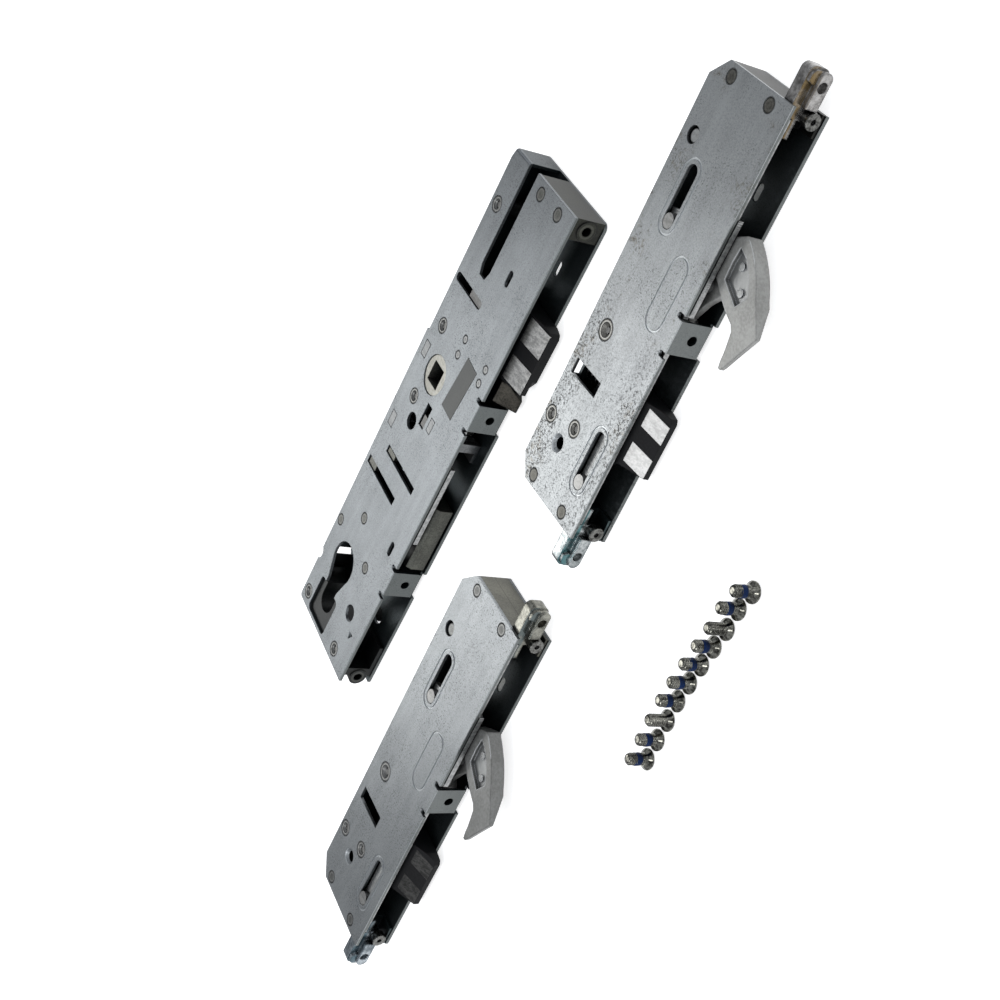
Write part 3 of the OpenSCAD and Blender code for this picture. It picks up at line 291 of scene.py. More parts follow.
    def surface(self, color, metallic, rough, normal, shade_tone=(0.005, 0.006, 0.007), reach=12 * MM,
                unshaded=None, specular=0.5):
        """Metal or plastic with painted shade in its hidden corners and inside the cases, from
        occlusion, except where the mask passed to keep it off is 1.
        """
        # painted shade: the colour turns to the shade tone where occlusion finds surfaces nearby
        lit = self.step(self.open_sky(reach), *SHADE_END)
        if unshaded is not None:
            lit = self.math("MAXIMUM", lit, unshaded)
        p = self.nodes.new("ShaderNodeBsdfPrincipled")
        self.put(p.inputs["Base Color"], self.mix(lit, shade_tone, color))
        self.put(p.inputs["Metallic"], metallic)
        self.put(p.inputs["Roughness"], rough)
        p.inputs["Specular IOR Level"].default_value = specular
        self.links.new(normal, p.inputs["Normal"])
        self.links.new(p.outputs[0], self.out.inputs[0])
        return self.material


# Tones laid on the metal, the same in all materials. Pits, blots and rust are marks of the metal;
# the rivet outlines, the sheets' inner faces and hidden corners, the lug faces, the surrounds of
# the bosses and the tube grooves are painted shade; the boss rims, pocket rims and rivet rings are
# painted highlights.
OUTLINE_SHADE = (0.02, 0.021, 0.022)
PIT = (0.04, 0.041, 0.042)
BLOT = (0.06, 0.062, 0.063)
RUST_STAIN = (0.13, 0.105, 0.065)
RUST_SPOT = (0.035, 0.028, 0.02)
SHEET_INSIDE_SHADE = (0.012, 0.022, 0.025)
SHEET_SHADE = (0.005, 0.011, 0.013)
LUG_SHADE = (0.1, 0.11, 0.104)
BOSS_RIM_HIGHLIGHT = (0.3, 0.3, 0.26)
BOSS_SHADE = (0.02, 0.02, 0.017)
POCKET_FLOOR = (0.3, 0.31, 0.315)
POCKET_RIM_HIGHLIGHT = (0.75, 0.77, 0.78)
TUBE_RING_HIGHLIGHT = (0.45, 0.45, 0.43)
TUBE_GROOVE_SHADE = (0.03, 0.03, 0.03)
FLUSH_RING_HIGHLIGHT = (0.5, 0.5, 0.49)
SHEET_METALLIC = 0.85
BRIGHTEST = 0.8


def rusted(t, color, rough, case, rust):
    """Brown patches near both edges and black specks towards the latch end of a hook case."""
    along, across = t.case_axes(case)
    edges = t.add(t.step_mm(across, *BACK_EDGE), t.mul(t.step_mm(across, *FOREND_EDGE), 0.7))
    brown = t.mul(t.step(t.noise(60, 4, 0.7), 0.50, 0.60), edges, clamp=True)
    low_end = t.mul(t.step_mm(along, *LATCH_END), t.add(t.mul(edges, 0.75), 0.15), clamp=True)
    specks = t.step(t.noise(1250, 4, 0.75), 0.53, 0.58)
    spots = t.mul(t.mul(specks, t.add(brown, low_end), clamp=True), rust, clamp=True)
    stain = t.mul(t.mul(t.step(t.noise(500, 4, 0.7), 0.46, 0.66), brown), rust)
    color = t.dye(color, stain, 0.6, RUST_STAIN)
    color = t.dye(color, spots, 0.75, RUST_SPOT)
    rough = t.add(rough, t.mul(spots, 0.4), clamp=True)
    return color, rough, t.sub(SHEET_METALLIC, t.mul(spots, 0.8))


def zinc_sheet(name, light, dark, case, rust=0.0):
    """Zinc plated sheet: fine mottling, specks, rivets outlined in painted shade, painted shade
    where it faces inwards.
    """
    t = Tree(name)
    mottle = t.noise(1500, 3, 0.7)
    rub = t.noise(300, vector=t.scaled((1.0, 0.12, 1.0), 0.1))
    tone = t.blend((t.noise(40), 0.25), (mottle, 0.45), (t.noise(4200, 2), 0.3),
                   (t.sub(rub, 0.5), 0.25))
    color = t.mix(t.step(tone, 0.36, 0.64), dark, light)
    # small dark pits and grease specks, denser in some places
    where = t.step(t.noise(48), 0.42, 0.62)
    pits = t.mul(t.step(t.noise(1700, 4, 0.75), 0.545, 0.625), t.add(t.mul(where, 0.65), 0.35))
    color = t.dye(color, pits, 0.7, PIT)
    blots = t.mul(t.step(t.noise(680, 3, 0.65), 0.62, 0.68), where)
    color = t.dye(color, blots, 0.45, BLOT)
    rough = t.add(t.span(mottle, 0.31, 0.42), t.mul(pits, 0.2))
    metallic = SHEET_METALLIC
    if rust:
        color, rough, metallic = rusted(t, color, rough, case, rust)
    z = t.xyz()[2]
    # painted shade: a dark line in the gap around each rivet
    ring = t.mul(t.step_mm(t.from_edge(sheet_rivets(case)), 0.42, 0.12), t.step_mm(z, *ON_FACE))
    color = t.dye(color, ring, 0.8, OUTLINE_SHADE)
    # painted shade: the faces inside the case turn near black, and the lug faces and the edges at
    # the forend, which face sideways, have one darker tone in all cases
    forend = t.step(t.math("ABSOLUTE", t.xyz(t.face_normal())[0]), 0.6, 0.9)
    lug_shade = t.mul(forend, t.step_mm(t.case_axes(case)[1], -0.5, -0.3))
    inside_shade = t.mul(t.step_mm(z, *UNDER_FRONT), t.step_mm(z, *OVER_BACK))
    color = t.dye(color, t.mul(inside_shade, t.sub(1.0, lug_shade)), 0.72, SHEET_INSIDE_SHADE)
    color = t.dye(color, lug_shade, 0.7, LUG_SHADE)
    # painted highlight on the pressed lines and rims
    pressed = t.band(z, *PRESSED_LINES, 0.03)
    color = t.dye(color, pressed, 0.45, tuple(min(BRIGHTEST, 2.0 * c) for c in light))
    height = t.blend((mottle, 0.6), (pits, -0.6))
    return t.surface(color, metallic, rough, t.bump(height, 0.3, 0.05 * MM, 0.22 * MM),
                     shade_tone=SHEET_SHADE, unshaded=t.math("MAXIMUM", t.step_mm(z, *NEAR_FACE), lug_shade))


def with_bosses(t, color, bosses):
    """A painted highlight on the rims of the screw bosses that face the forend, and painted shade
    around them.
    """
    away = t.from_edge(bosses, (0, 1, 1))
    front = t.step_mm(t.xyz()[0], FOREND_X - 1.5, FOREND_X - 1.0)
    color = t.dye(color, t.mul(t.band(away, -1.7, -0.9, 0.15), front), 0.12, BOSS_RIM_HIGHLIGHT)
    return t.dye(color, t.mul(t.band(away, -0.2, 0.8, 0.25), front), 0.7, BOSS_SHADE)


def cast(name, light, dark, metallic=0.6, rough=(0.38, 0.6), grain=1500.0, parting=None,
         rounding=0.3 * MM, bosses=None, pocket=None, reach=12 * MM, specular=0.5):
    """Cast metal or plastic: soft mottling and fine grain.

    parting is the height of a parting line in millimetres, bosses are screw bosses with a painted
    highlight on their rims and painted shade around them, and pocket is the recess in a hook's
    face, with its polished floor and a painted highlight on its rim.
    """
    t = Tree(name)
    tone = t.blend((t.noise(120, 4), 0.5), (t.noise(grain), 0.5))
    color = t.mix(t.step(tone, 0.38, 0.64), dark, light)
    relief = t.noise(grain * 1.6, 3, 0.7)
    if parting is not None:
        line = t.band(t.xyz()[2], parting - 0.15, parting + 0.15, 0.1)
        color = t.dye(color, line, 0.5, tuple(0.25 * c for c in dark))
    if bosses:
        color = with_bosses(t, color, bosses)
    shine = t.span(tone, *rough)
    if pocket:
        near = t.step_mm(t.from_edge(pocket), 0.3, -0.3)
        level = t.mul(t.step_mm(t.xyz()[2], HOOK_TOP - 0.25, HOOK_TOP - 0.35),
                      t.step(t.xyz(t.face_normal())[2], 0.5, 0.8))
        polished = t.mul(near, level)
        color = t.dye(color, polished, 0.6, POCKET_FLOOR)
        # painted highlight along the rim of the recess
        color = t.dye(color, t.mul(t.edges(0.6 * MM), near), 0.7, POCKET_RIM_HIGHLIGHT)
        metallic = t.add(metallic, t.mul(polished, 0.4))
        shine = t.sub(shine, t.mul(polished, 0.1))
    return t.surface(color, metallic, shine, t.bump(relief, 0.35, 0.05 * MM, rounding),
                     reach=reach, specular=specular)


def tinted(name, light, dark, tint):
    """Passivated zinc with a coloured tint on the upper part of the faces along its channel."""
    t = Tree(name)
    tone = t.blend((t.noise(160, 4), 0.6), (t.noise(900), 0.4))
    color = t.mix(t.step(tone, 0.38, 0.64), dark, light)
    channel = t.mul(t.step(t.xyz(t.face_normal())[0], 0.5, 0.8), t.step_mm(t.xyz()[2], 9.0, 9.8))
    streak = t.step(t.noise(260, 2, 0.5), 0.3, 0.6)
    color = t.mix(t.mul(channel, t.add(t.mul(streak, 0.5), 0.45)), color, tint)
    return t.surface(color, 0.9, t.span(tone, 0.16, 0.32), t.bump(tone, 0.2, 0.05 * MM, 1.1 * MM),
                     reach=1.5 * MM)


def steel(name, light, dark, metallic=0.95, rough=(0.18, 0.4), ribs=0.0, rounding=0.15 * MM,
          reach=12 * MM, streak=(0.25, 1.0, 1.0)):
    """Machined or rolled steel with rub marks; ribs adds fine cross ribs at that pitch."""
    t = Tree(name)
    spot = t.noise(1500)
    tone = t.blend((t.noise(700, vector=t.scaled(streak, 0.4)), 0.6), (spot, 0.4))
    color = t.mix(t.step(tone, 0.38, 0.62), dark, light)
    height, strength, depth = spot, 0.25, 0.04 * MM
    if ribs:
        n = t.nodes.new("ShaderNodeTexWave")
        n.bands_direction = "Y"
        n.inputs["Scale"].default_value = WAVE_PERIOD / ribs
        n.inputs["Distortion"].default_value = 0.4
        t.links.new(t.coord, n.inputs["Vector"])
        height, strength, depth = t.add(t.mul(spot, 0.2), n.outputs["Fac"]), 0.5, 0.08 * MM
    return t.surface(color, metallic, t.span(tone, *rough),
                     t.bump(height, strength, depth, rounding), reach=reach)


def riveted(name, light, dark, rivets, tube=False, ring_highlight=0.2):
    """Rivet ends: an outline of painted shade, and a ring of painted highlight that on tube rivets
    has a groove line of painted shade in it.
    """
    t = Tree(name)
    tone = t.blend((t.noise(900), 0.6), (t.noise(2600, 2), 0.4))
    color = t.mix(t.step(tone, 0.38, 0.62), dark, light)
    edge = t.from_edge(rivets)
    # painted highlight on the ring, with a painted shade line for the groove on tube rivets
    if tube:
        color = t.dye(color, t.band(edge, -1.05, -0.6, 0.15), ring_highlight, TUBE_RING_HIGHLIGHT)
        color = t.dye(color, t.band(edge, -1.2, -1.0, 0.08), 0.8, TUBE_GROOVE_SHADE)
    else:
        color = t.dye(color, t.band(edge, -0.95, -0.5, 0.12), ring_highlight, FLUSH_RING_HIGHLIGHT)
    # painted shade at the outline of each rivet
    color = t.dye(color, t.step_mm(edge, -0.32, -0.12), 0.85, OUTLINE_SHADE)
    return t.surface(color, 0.85, t.span(tone, 0.3, 0.5),
                     t.bump(tone, 0.4, 0.06 * MM, 0.15 * MM),
                     unshaded=t.step_mm(t.xyz()[2], *RIVET_MOUTH))


# Settings that several materials share
BLOCK = {"metallic": 0.7, "rough": (0.3, 0.5)}
HOOK = {"metallic": 0.45, "rough": (0.34, 0.5), "grain": 1100, "rounding": 0.8 * MM,
        "reach": 4 * MM}
SMALL_STEEL = {"metallic": 0.85, "rough": (0.3, 0.45), "reach": 4 * MM}

# Each material with its light and its dark tone
MATERIALS = {material.name: material for material in (
    zinc_sheet("sheet_centre", (0.2, 0.215, 0.225), (0.135, 0.146, 0.154), "centre"),
    zinc_sheet("sheet_upper", (0.345, 0.362, 0.37), (0.24, 0.252, 0.258), "upper", rust=1.0),
    zinc_sheet("sheet_lower", (0.285, 0.301, 0.31), (0.195, 0.207, 0.214), "lower"),

    riveted("tube_centre", (0.17, 0.172, 0.166), (0.11, 0.111, 0.108),
            placed("centre", CENTRE_TUBES), tube=True),
    riveted("tube_upper", (0.2, 0.196, 0.18), (0.11, 0.108, 0.098),
            placed("upper", HOOK_TUBES), tube=True, ring_highlight=0.55),
    riveted("tube_lower", (0.2, 0.202, 0.198), (0.12, 0.121, 0.118),
            placed("lower", HOOK_TUBES), tube=True, ring_highlight=0.4),
    riveted("flush_centre", (0.1, 0.102, 0.094), (0.06, 0.061, 0.056),
            placed("centre", CENTRE_FLUSH), ring_highlight=0.1),
    riveted("flush_upper", (0.11, 0.108, 0.095), (0.055, 0.054, 0.047),
            placed("upper", HOOK_FLUSH), ring_highlight=0.05),
    riveted("flush_lower", (0.13, 0.133, 0.128), (0.08, 0.082, 0.079),
            placed("lower", HOOK_FLUSH)),
    riveted("small_centre", (0.17, 0.174, 0.174), (0.11, 0.113, 0.113),
            placed("centre", CENTRE_SMALL)),
    riveted("stop_upper", (0.33, 0.34, 0.34), (0.22, 0.225, 0.228),
            placed("upper", [(*STOP_END, STOP_RADIUS)]), ring_highlight=0.1),
    riveted("stop_lower", (0.19, 0.195, 0.19), (0.12, 0.123, 0.12),
            placed("lower", [(*STOP_END, STOP_RADIUS)]), ring_highlight=0.1),

    cast("block_olive", (0.036, 0.038, 0.029), (0.014, 0.015, 0.0115), **BLOCK,
         bosses=[(at("centre", *TOP_BOSS), BOSS_RADIUS * MM)]),
    cast("block_upper", (0.03, 0.03, 0.024), (0.014, 0.0135, 0.011), **BLOCK, parting=7),
    cast("block_pale", (0.175, 0.172, 0.14), (0.1, 0.098, 0.082), **BLOCK, parting=7),
    # painted shade: the bottom block, seen inside the centre case, has a near-black tone
    cast("block_dark", (0.02, 0.022, 0.022), (0.008, 0.009, 0.009), **BLOCK,
         bosses=[(at("centre", *BOTTOM_BOSS), BOSS_RADIUS * MM)]),
    cast("block_teal", (0.10, 0.14, 0.145), (0.04, 0.06, 0.063), 0.8, (0.2, 0.4)),
    cast("hook_zinc", (0.37, 0.372, 0.36), (0.265, 0.266, 0.254), **HOOK,
         pocket=placed("upper", POCKET)),
    cast("hook_dark", (0.235, 0.237, 0.23), (0.165, 0.167, 0.16), **HOOK,
         pocket=placed("lower", POCKET)),
    cast("bronze_dark", (0.05, 0.046, 0.038), (0.015, 0.0135, 0.011), 0.85, (0.22, 0.4),
         rounding=0.6 * MM),
    cast("slot_end", (0.85, 0.86, 0.84), (0.6, 0.62, 0.6), 0.5, (0.4, 0.6), reach=0.6 * MM),
    cast("line", (0.02, 0.02, 0.021), (0.012, 0.012, 0.013), 0.0, (0.6, 0.8)),
    cast("core", (0.2, 0.2, 0.195), (0.09, 0.09, 0.087), 0.6, (0.4, 0.6), reach=1.2 * MM),
    cast("hub", (0.33, 0.325, 0.295), (0.21, 0.207, 0.185), 0.8, (0.35, 0.5), grain=900),
    cast("bolt_olive", (0.11, 0.113, 0.096), (0.055, 0.056, 0.048), 0.7, (0.28, 0.45)),
    cast("black", (0.010, 0.010, 0.011), (0.005, 0.005, 0.0055), 0.0, (0.4, 0.6), specular=0.15),
    cast("blue_lock", (0.003, 0.03, 0.13), (0.001, 0.012, 0.06), 0.0, (0.45, 0.7), grain=2500,
         specular=0.15),
    cast("label", (0.066, 0.069, 0.066), (0.051, 0.054, 0.051), 0.2, (0.4, 0.55), grain=2500),

    steel("joint_screw", (0.2, 0.2, 0.19), (0.045, 0.045, 0.042), rough=(0.12, 0.26),
          rounding=0.7 * MM, reach=2 * MM),
    steel("plated", (0.36, 0.365, 0.37), (0.2, 0.205, 0.21), 0.9, (0.25, 0.45)),
    steel("plated_small", (0.3, 0.3, 0.294), (0.19, 0.19, 0.185), **SMALL_STEEL),
    steel("plated_dull", (0.2, 0.206, 0.208), (0.128, 0.133, 0.136), **SMALL_STEEL),
    steel("catch_steel", (0.13, 0.13, 0.127), (0.075, 0.075, 0.073), 0.85, (0.32, 0.45),
          reach=5 * MM),
    steel("slider", (0.42, 0.425, 0.42), (0.22, 0.225, 0.225), 0.85, (0.26, 0.42),
          ribs=0.7 * MM, reach=1.6 * MM),
    steel("bright", (0.72, 0.71, 0.68), (0.38, 0.375, 0.36), 0.85, (0.25, 0.4)),
    steel("bright_white", (0.52, 0.515, 0.50), (0.35, 0.346, 0.334), 0.7, (0.32, 0.46)),
    # the lower case's latch plates: the same bright steel, darkened as painted shade
    steel("latch_plate_shaded", (0.055, 0.054, 0.052), (0.02, 0.02, 0.019), 0.8, (0.3, 0.45)),
    steel("spring", (0.2, 0.2, 0.2), (0.1, 0.1, 0.1)),
    steel("screw", (0.26, 0.256, 0.225), (0.03, 0.03, 0.026), 1.0, (0.07, 0.2),
          reach=1.5 * MM, streak=(1.0, 1.0, 0.06)),

    tinted("yellow_zinc", (0.40, 0.39, 0.38), (0.12, 0.115, 0.11), (0.17, 0.12, 0.055)),
    tinted("grey_zinc", (0.29, 0.287, 0.25), (0.1, 0.1, 0.086), (0.10, 0.12, 0.12)),
    tinted("blue_zinc", (0.38, 0.42, 0.45), (0.11, 0.13, 0.145), (0.06, 0.1, 0.12)),
    tinted("teal_zinc", (0.46, 0.48, 0.48), (0.14, 0.16, 0.165), (0.06, 0.15, 0.16)),
)}

FINISH = {
    "centre_back_plate": "sheet_centre", "centre_front_plate": "sheet_centre",
    "centre_top_block": "block_olive", "centre_bottom_block": "block_dark",
    "centre_tube_rivets": "tube_centre", "centre_flush_rivets": "flush_centre",
    "centre_small_rivets": "small_centre", "spring_cage": "plated_dull",
    "guide_bridge": "plated_dull", "latch_guide": "plated",
    "follower": "hub", "follower_spring": "spring", "centre_drive_slider": "slider",
    "latch_body": "black", "latch_face_plates": "bright", "latch_tail": "catch_steel",
    "latch_spring": "spring", "trigger": "bronze_dark", "trigger_spring": "spring",
    "deadbolt": "bolt_olive", "key_lever": "plated", "locking_catch": "catch_steel",
    "fixing_screws": "screw",
}
for side, top_block, hook, latch_plates, top_rod, low_rod in (
        ("upper", "block_upper", "hook_zinc", "bright_white", "yellow_zinc", "teal_zinc"),
        ("lower", "block_pale", "hook_dark", "latch_plate_shaded", "grey_zinc", "blue_zinc")):
    FINISH.update({
        side + "_back_plate": "sheet_" + side, side + "_front_plate": "sheet_" + side,
        side + "_top_block": top_block, side + "_bottom_block": "block_teal",
        side + "_tube_rivets": "tube_" + side, side + "_flush_rivets": "flush_" + side,
        side + "_hook": hook, side + "_hook_pivot": "plated",
        side + "_drive_slider": "slider", side + "_slider_pins": "plated_small",
        side + "_top_connector": top_rod, side + "_bottom_connector": low_rod,
        side + "_connector_screws": "joint_screw", side + "_latch_body": "black",
        side + "_latch_face_plates": latch_plates, side + "_latch_spring": "spring",
        side + "_release_lever": "plated",
    })

for name, obj in nodes.items():
    obj.data.materials.clear()
    obj.data.materials.append(MATERIALS[FINISH[name]])


# Pieces that only the picture needs

def new_object(name, verts, faces, material, smooth=False):
    mesh = bpy.data.meshes.new(name)
    mesh.from_pydata([tuple(v) for v in verts], [], faces)
    mesh.materials.append(material)
    for poly in mesh.polygons:
        poly.use_smooth = smooth
    mesh.update()
    obj = bpy.data.objects.new(name, mesh)
    bpy.context.scene.collection.objects.link(obj)
    return obj


def disc(case, place, outline, heights):
    """Lower and upper ring of an outline around a place in a case."""
    centre = at(case, *place, 0)
    return [[centre + Vector((x, y, z)) * MM for x, y in outline] for z in heights]


def slab(case, corners, heights):
    """Lower and upper ring of corners in a case's own millimetres."""
    return [[at(case, x, y, z) for x, y in corners] for z in heights]


def rectangle(x0, y0, x1, y1):
    return [(x0, y0), (x1, y0), (x1, y1), (x0, y1)]


def round_outline(radius, wave=0.0):
    """A circle of 48 points; wave gives it six lobes."""
    outline = []
    for k in range(48):
        a = FULL_TURN * k / 48
        r = radius + wave * math.cos(6 * a)
        outline.append((r * math.cos(a), r * math.sin(a)))
    return outline


def prisms(name, parts, material):
    """One object of closed prisms, each given as its lower and its upper ring."""
    verts, faces = [], []
    for low, high in parts:
        base, n = len(verts), len(low)
        verts += low + high
        for k in range(n):
            k2 = (k + 1) % n
            faces.append((base + k, base + k2, base + n + k2, base + n + k))
        faces.append(tuple(base + n + k for k in range(n)))
        faces.append(tuple(base + n - 1 - k for k in range(n)))
    return new_object(name, verts, faces, MATERIALS[material])


# lobed cores seen a little below the mouths of the tube rivets
cores = prisms("rivet_cores", [
    disc(case, (x, y), round_outline(CORE_RADIUS, CORE_WAVE), CORE_Z)
    for case, rivets in (("centre", CENTRE_TUBES), ("upper", HOOK_TUBES), ("lower", HOOK_TUBES))
    for x, y, _ in rivets], "core")
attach(cores, "cases")

# ends of the half sheared stop posts, seen in their holes
for case in ("upper", "lower"):
    cap = prisms(case + "_stop_end", [disc(case, STOP_END, round_outline(STOP_RADIUS), STOP_Z)],
                 "stop_" + case)
    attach(cap, "cases")

# dark seams around the staked tabs of the spring cage and the guide bridge
seams = prisms("tab_seams", [
    slab("centre", rectangle(*sides), SEAM_Z)
    for x0, y0, x1, y1 in STAKED_TABS
    for sides in ((x0, y0, x1, y0 + SEAM), (x0, y1 - SEAM, x1, y1),
                  (x0, y0, x0 + SEAM, y1), (x1 - SEAM, y0, x1, y1))], "line")
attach(seams, "cases")

# what closes the view through the cases: back edge beside the latch and a filled slot end
for case in ("upper", "lower"):
    edge_wall = prisms(case + "_edge_wall", [slab(case, rectangle(*EDGE_WALLS[case]), INSIDE)],
                       "sheet_" + case)
    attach(edge_wall, "cases")
    outline = [(x, y + (SLOT_END_STRETCH if y > 0 else -SLOT_END_STRETCH))
               for x, y in round_outline(SLOT_END_RADIUS)]
    end = prisms(case + "_slot_end", [disc(case, SLOT_END, outline, SLOT_END_Z)], "slot_end")
    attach(end, "cases")

# painted shade: a dark filled hole and a dark back edge at the foot of the cylinder hole
foot = prisms("centre_hole_ends", [
    disc("centre", HOLE_END, round_outline(HOLE_END_RADIUS), HOLE_END_Z),
    slab("centre", rectangle(*HOLE_WALL), INSIDE)], "block_dark")
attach(foot, "cases")

# bare grey label on the front plate of the centre case
label = prisms("plate_label", [slab("centre", LABEL, LABEL_Z)], "label")
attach(label, "cases")

# Countersunk screws that stand on their heads; x of each, and radii and heights in millimetres
SCREW_X = [136.5 + dx for dx in (1.1, 0.1, 0.6, 0.2, 0, 0, 0.1, 0.9, 1.8, 2.7)]
SCREW_Y, SCREW_PITCH = 170.9, 7.42
HEAD_RADIUS, HEAD_EDGE, CONE = 3.45, 0.45, 1.45
CHAMFER, CHAMFER_TOP = 0.15, 0.12
THREAD_RADIUS, THREAD_DEPTH, THREAD_PITCH = 2.0, 0.33, 0.7
THREAD_LOW, THREAD_HIGH = 2.05, 7.75
TIP_RADIUS, TIP = 0.9, 0.25
SCREW_SIDES = 40
NO_PATCH = (2, 7)
PATCH_SIDES, PATCH_ROWS = 24, 7
PATCH_LOW, PATCH_HIGH = 3.0, 5.6
PATCH_RADIUS, PATCH_END_RADIUS = 2.03, 1.75
PATCH_WAVE, PATCH_GRAIN, PATCH_RISE = 0.05, 0.04, 0.12


def screw_place(i):
    return at("centre", SCREW_X[i], SCREW_Y - SCREW_PITCH * i, 0)


def ring_faces(rows, n, base=0):
    """Faces between rings of n points each, one above the other."""
    return [(base + j * n + k, base + j * n + (k + 1) % n,
             base + (j + 1) * n + (k + 1) % n, base + (j + 1) * n + k)
            for j in range(rows - 1) for k in range(n)]


def thread_radius(z, share):
    """Radius of the cut thread at a height and a share of the turn; it fades at both ends."""
    phase = ((z - THREAD_LOW) / THREAD_PITCH - share) % 1.0
    cut = 1 - abs(2 * phase - 1)
    fade = min(1.0, (z - THREAD_LOW) / 0.5 + 0.2, (THREAD_HIGH - z) / 0.3 + 0.35)
    point = max(0.0, z - THREAD_HIGH + 0.5) * 0.7
    return THREAD_RADIUS - THREAD_DEPTH * cut * fade - point


def screw_mesh(place, turn, base):
    """Standing countersunk screw with a cut thread, as rings from the floor up."""
    n = SCREW_SIDES
    profile = [(HEAD_RADIUS - CHAMFER, 0.0), (HEAD_RADIUS, CHAMFER_TOP), (HEAD_RADIUS, HEAD_EDGE)]
    profile += [(HEAD_RADIUS - CONE * i / 5, HEAD_EDGE + CONE * i / 5) for i in range(1, 6)]
    rows = [([r] * n, z) for r, z in profile]
    steps = int((THREAD_HIGH - THREAD_LOW) / THREAD_PITCH * 8)
    for i in range(steps + 1):
        z = THREAD_LOW + (THREAD_HIGH - THREAD_LOW) * i / steps
        rows.append(([thread_radius(z, k / n) for k in range(n)], z))
    rows.append(([TIP_RADIUS] * n, THREAD_HIGH + TIP))
    verts = []
    for radii, z in rows:
        for k, r in enumerate(radii):
            a = FULL_TURN * k / n + turn
            verts.append(place + Vector((r * math.cos(a), r * math.sin(a), z)) * MM)
    faces = ring_faces(len(rows), n, base)
    faces.append(tuple(base + k for k in range(n - 1, -1, -1)))
    faces.append(tuple(base + (len(rows) - 1) * n + k for k in range(n)))
    return verts, faces


verts, faces = [], []
for i in range(len(SCREW_X)):
    more_verts, more_faces = screw_mesh(screw_place(i), rng.uniform(0, 6.28), len(verts))
    verts += more_verts
    faces += more_faces
screws = new_object("threaded_screws", verts, faces, MATERIALS["screw"], smooth=True)
for poly in screws.data.polygons:
    if len(poly.vertices) > 4:
        poly.use_smooth = False
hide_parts("fixing_screws")
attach(screws, "cases")

# blue locking patch on most of the shanks
for i in range(len(SCREW_X)):
    if i in NO_PATCH:
        continue
    verts = []
    start = rng.uniform(0, 6.28)
    for j in range(PATCH_ROWS):
        z = PATCH_LOW + (PATCH_HIGH - PATCH_LOW) * j / (PATCH_ROWS - 1)
        for k in range(PATCH_SIDES):
            a = start + FULL_TURN * k / PATCH_SIDES
            r = PATCH_RADIUS + PATCH_WAVE * math.sin(3 * a + j) + PATCH_GRAIN * rng.random()
            if j in (0, PATCH_ROWS - 1):
                r = PATCH_END_RADIUS
            rise = PATCH_RISE * math.sin(2 * a + i)
            verts.append(screw_place(i) + Vector((r * math.cos(a), r * math.sin(a), z + rise)) * MM)
    patch = new_object("locking_patch_%d" % i, verts, ring_faces(PATCH_ROWS, PATCH_SIDES),
                       MATERIALS["blue_lock"], smooth=True)
    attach(patch, "cases")


# Stage, light and camera

def floor_material():
    """White to the camera and in reflections, with the shadows kept; grey to all other rays."""
    t = Tree("floor_white")
    path = t.nodes.new("ShaderNodeLightPath").outputs
    seen = t.math("MAXIMUM", path["Is Camera Ray"],
                  t.math("MAXIMUM", path["Is Glossy Ray"], path["Is Transmission Ray"]))
    diffuse = t.nodes.new("ShaderNodeBsdfDiffuse")
    diffuse.inputs["Color"].default_value = (0.8, 0.8, 0.8, 1)
    glow = t.nodes.new("ShaderNodeEmission")
    glow.inputs["Color"].default_value = (1, 1, 1, 1)
    glow.inputs["Strength"].default_value = 0.7
    both = t.nodes.new("ShaderNodeAddShader")
    t.links.new(diffuse.outputs[0], both.inputs[0])
    t.links.new(glow.outputs[0], both.inputs[1])
    plain = t.nodes.new("ShaderNodeBsdfDiffuse")
    plain.inputs["Color"].default_value = (0.25, 0.25, 0.25, 1)
    pick = t.nodes.new("ShaderNodeMixShader")
    t.links.new(seen, pick.inputs[0])
    t.links.new(plain.outputs[0], pick.inputs[1])
    t.links.new(both.outputs[0], pick.inputs[2])
    t.links.new(pick.outputs[0], t.out.inputs[0])
    return t.material


FLOOR_HALF, FLOOR_Z = 4.0, -0.3 * MM
floor_corners = rectangle(-FLOOR_HALF, -FLOOR_HALF, FLOOR_HALF, FLOOR_HALF)
floor = new_object("floor", [(x, y, FLOOR_Z) for x, y in floor_corners], [(0, 1, 2, 3)],
                   floor_material())

# white to the camera; other rays see it darker around the direction that the plates mirror
MIRRORED = Vector((-0.68, -0.48, 0.556)).normalized()
world = bpy.data.worlds.new("studio")
bpy.context.scene.world = world
world.use_nodes = True
tree = world.node_tree
tree.nodes.clear()
out = tree.nodes.new("ShaderNodeOutputWorld")
path = tree.nodes.new("ShaderNodeLightPath")
dim = tree.nodes.new("ShaderNodeBackground")
dim.inputs["Color"].default_value = (0.92, 0.95, 1.0, 1)
aim = tree.nodes.new("ShaderNodeVectorMath")
aim.operation = "DOT_PRODUCT"
tree.links.new(tree.nodes.new("ShaderNodeTexCoord").outputs["Generated"], aim.inputs[0])
aim.inputs[1].default_value = MIRRORED
level = tree.nodes.new("ShaderNodeMapRange")
level.interpolation_type = "SMOOTHSTEP"
tree.links.new(aim.outputs["Value"], level.inputs["Value"])
for key, value in (("From Min", 0.45), ("From Max", 0.9), ("To Min", 0.66), ("To Max", 0.36)):
    level.inputs[key].default_value = value
tree.links.new(level.outputs["Result"], dim.inputs["Strength"])
white = tree.nodes.new("ShaderNodeBackground")
white.inputs["Color"].default_value = (1, 1, 1, 1)
white.inputs["Strength"].default_value = 1.0
mix = tree.nodes.new("ShaderNodeMixShader")
tree.links.new(path.outputs["Is Camera Ray"], mix.inputs[0])
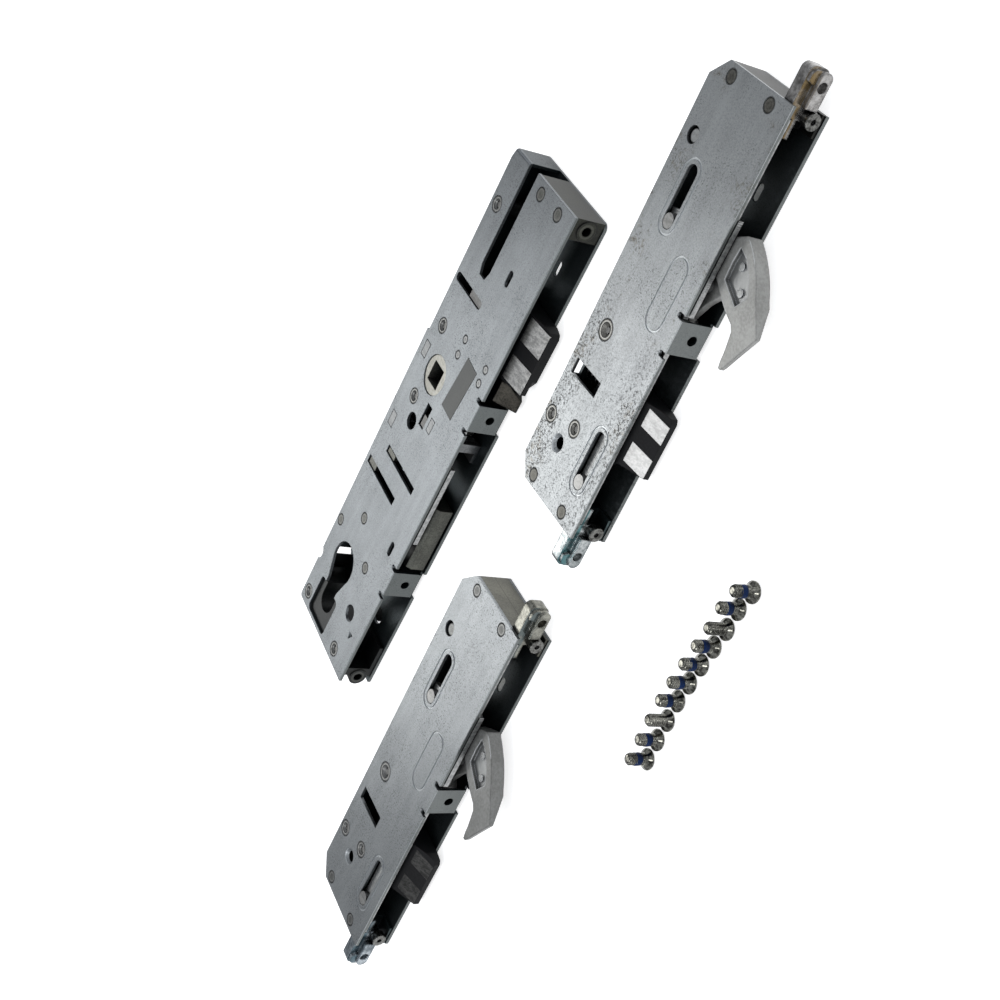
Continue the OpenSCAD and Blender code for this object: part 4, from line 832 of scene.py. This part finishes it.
tree.links.new(dim.outputs[0], mix.inputs[1])
tree.links.new(white.outputs[0], mix.inputs[2])
tree.links.new(mix.outputs[0], out.inputs[0])


def lamp(name, place, target, size, power, color=(1, 1, 1)):
    data = bpy.data.lights.new(name, "AREA")
    data.shape = "RECTANGLE"
    data.size, data.size_y = size
    data.energy = power
    data.color = color
    obj = bpy.data.objects.new(name, data)
    bpy.context.scene.collection.objects.link(obj)
    obj.location = place
    obj.rotation_mode = "QUATERNION"
    obj.rotation_quaternion = (Vector(target) - Vector(place)).to_track_quat("-Z", "Y")


lamp("key", (-0.645, -0.44, 0.602), (0.02, 0.03, 0), (0.45, 0.45), 2.5, (1.0, 0.995, 0.98))
lamp("side", (0.42, -0.40, 0.83), (0, 0, 0), (0.34, 0.34), 2.1, (0.97, 0.98, 1.0))
lamp("glint", (0.66, 0.355, 0.75), (0.09, 0.02, 0), (0.12, 0.12), 0.5)
lamp("rim", (0.1, 0.8, 0.5), (0, 0, 0), (0.6, 0.3), 0.6, (0.97, 0.98, 1.0))

# the photograph's viewing angle, solved from the cases' own edges
CAMERA_RIGHT = Vector((0.3815, 0.4161, -0.8254))
CAMERA_LOOK = Vector((-0.6794, -0.4793, -0.5556))
CAMERA_PLACE = (398.1, 376.1, 311.2)
look = CAMERA_LOOK.normalized()
right = (CAMERA_RIGHT - look * CAMERA_RIGHT.dot(look)).normalized()
down = look.cross(right)
cam_data = bpy.data.cameras.new("camera")
cam_data.lens = 56.62
cam_data.sensor_width = 36.0
cam_data.clip_start = 0.01
cam_data.clip_end = 20
camera = bpy.data.objects.new("camera", cam_data)
bpy.context.scene.collection.objects.link(camera)
camera.matrix_world = Matrix((
    (right.x, -down.x, -look.x, (CAMERA_PLACE[0] - MID[0]) * MM),
    (right.y, -down.y, -look.y, (CAMERA_PLACE[1] - MID[1]) * MM),
    (right.z, -down.z, -look.z, CAMERA_PLACE[2] * MM),
    (0, 0, 0, 1)))
bpy.context.scene.camera = camera
bpy.context.scene.view_settings.view_transform = "Standard"
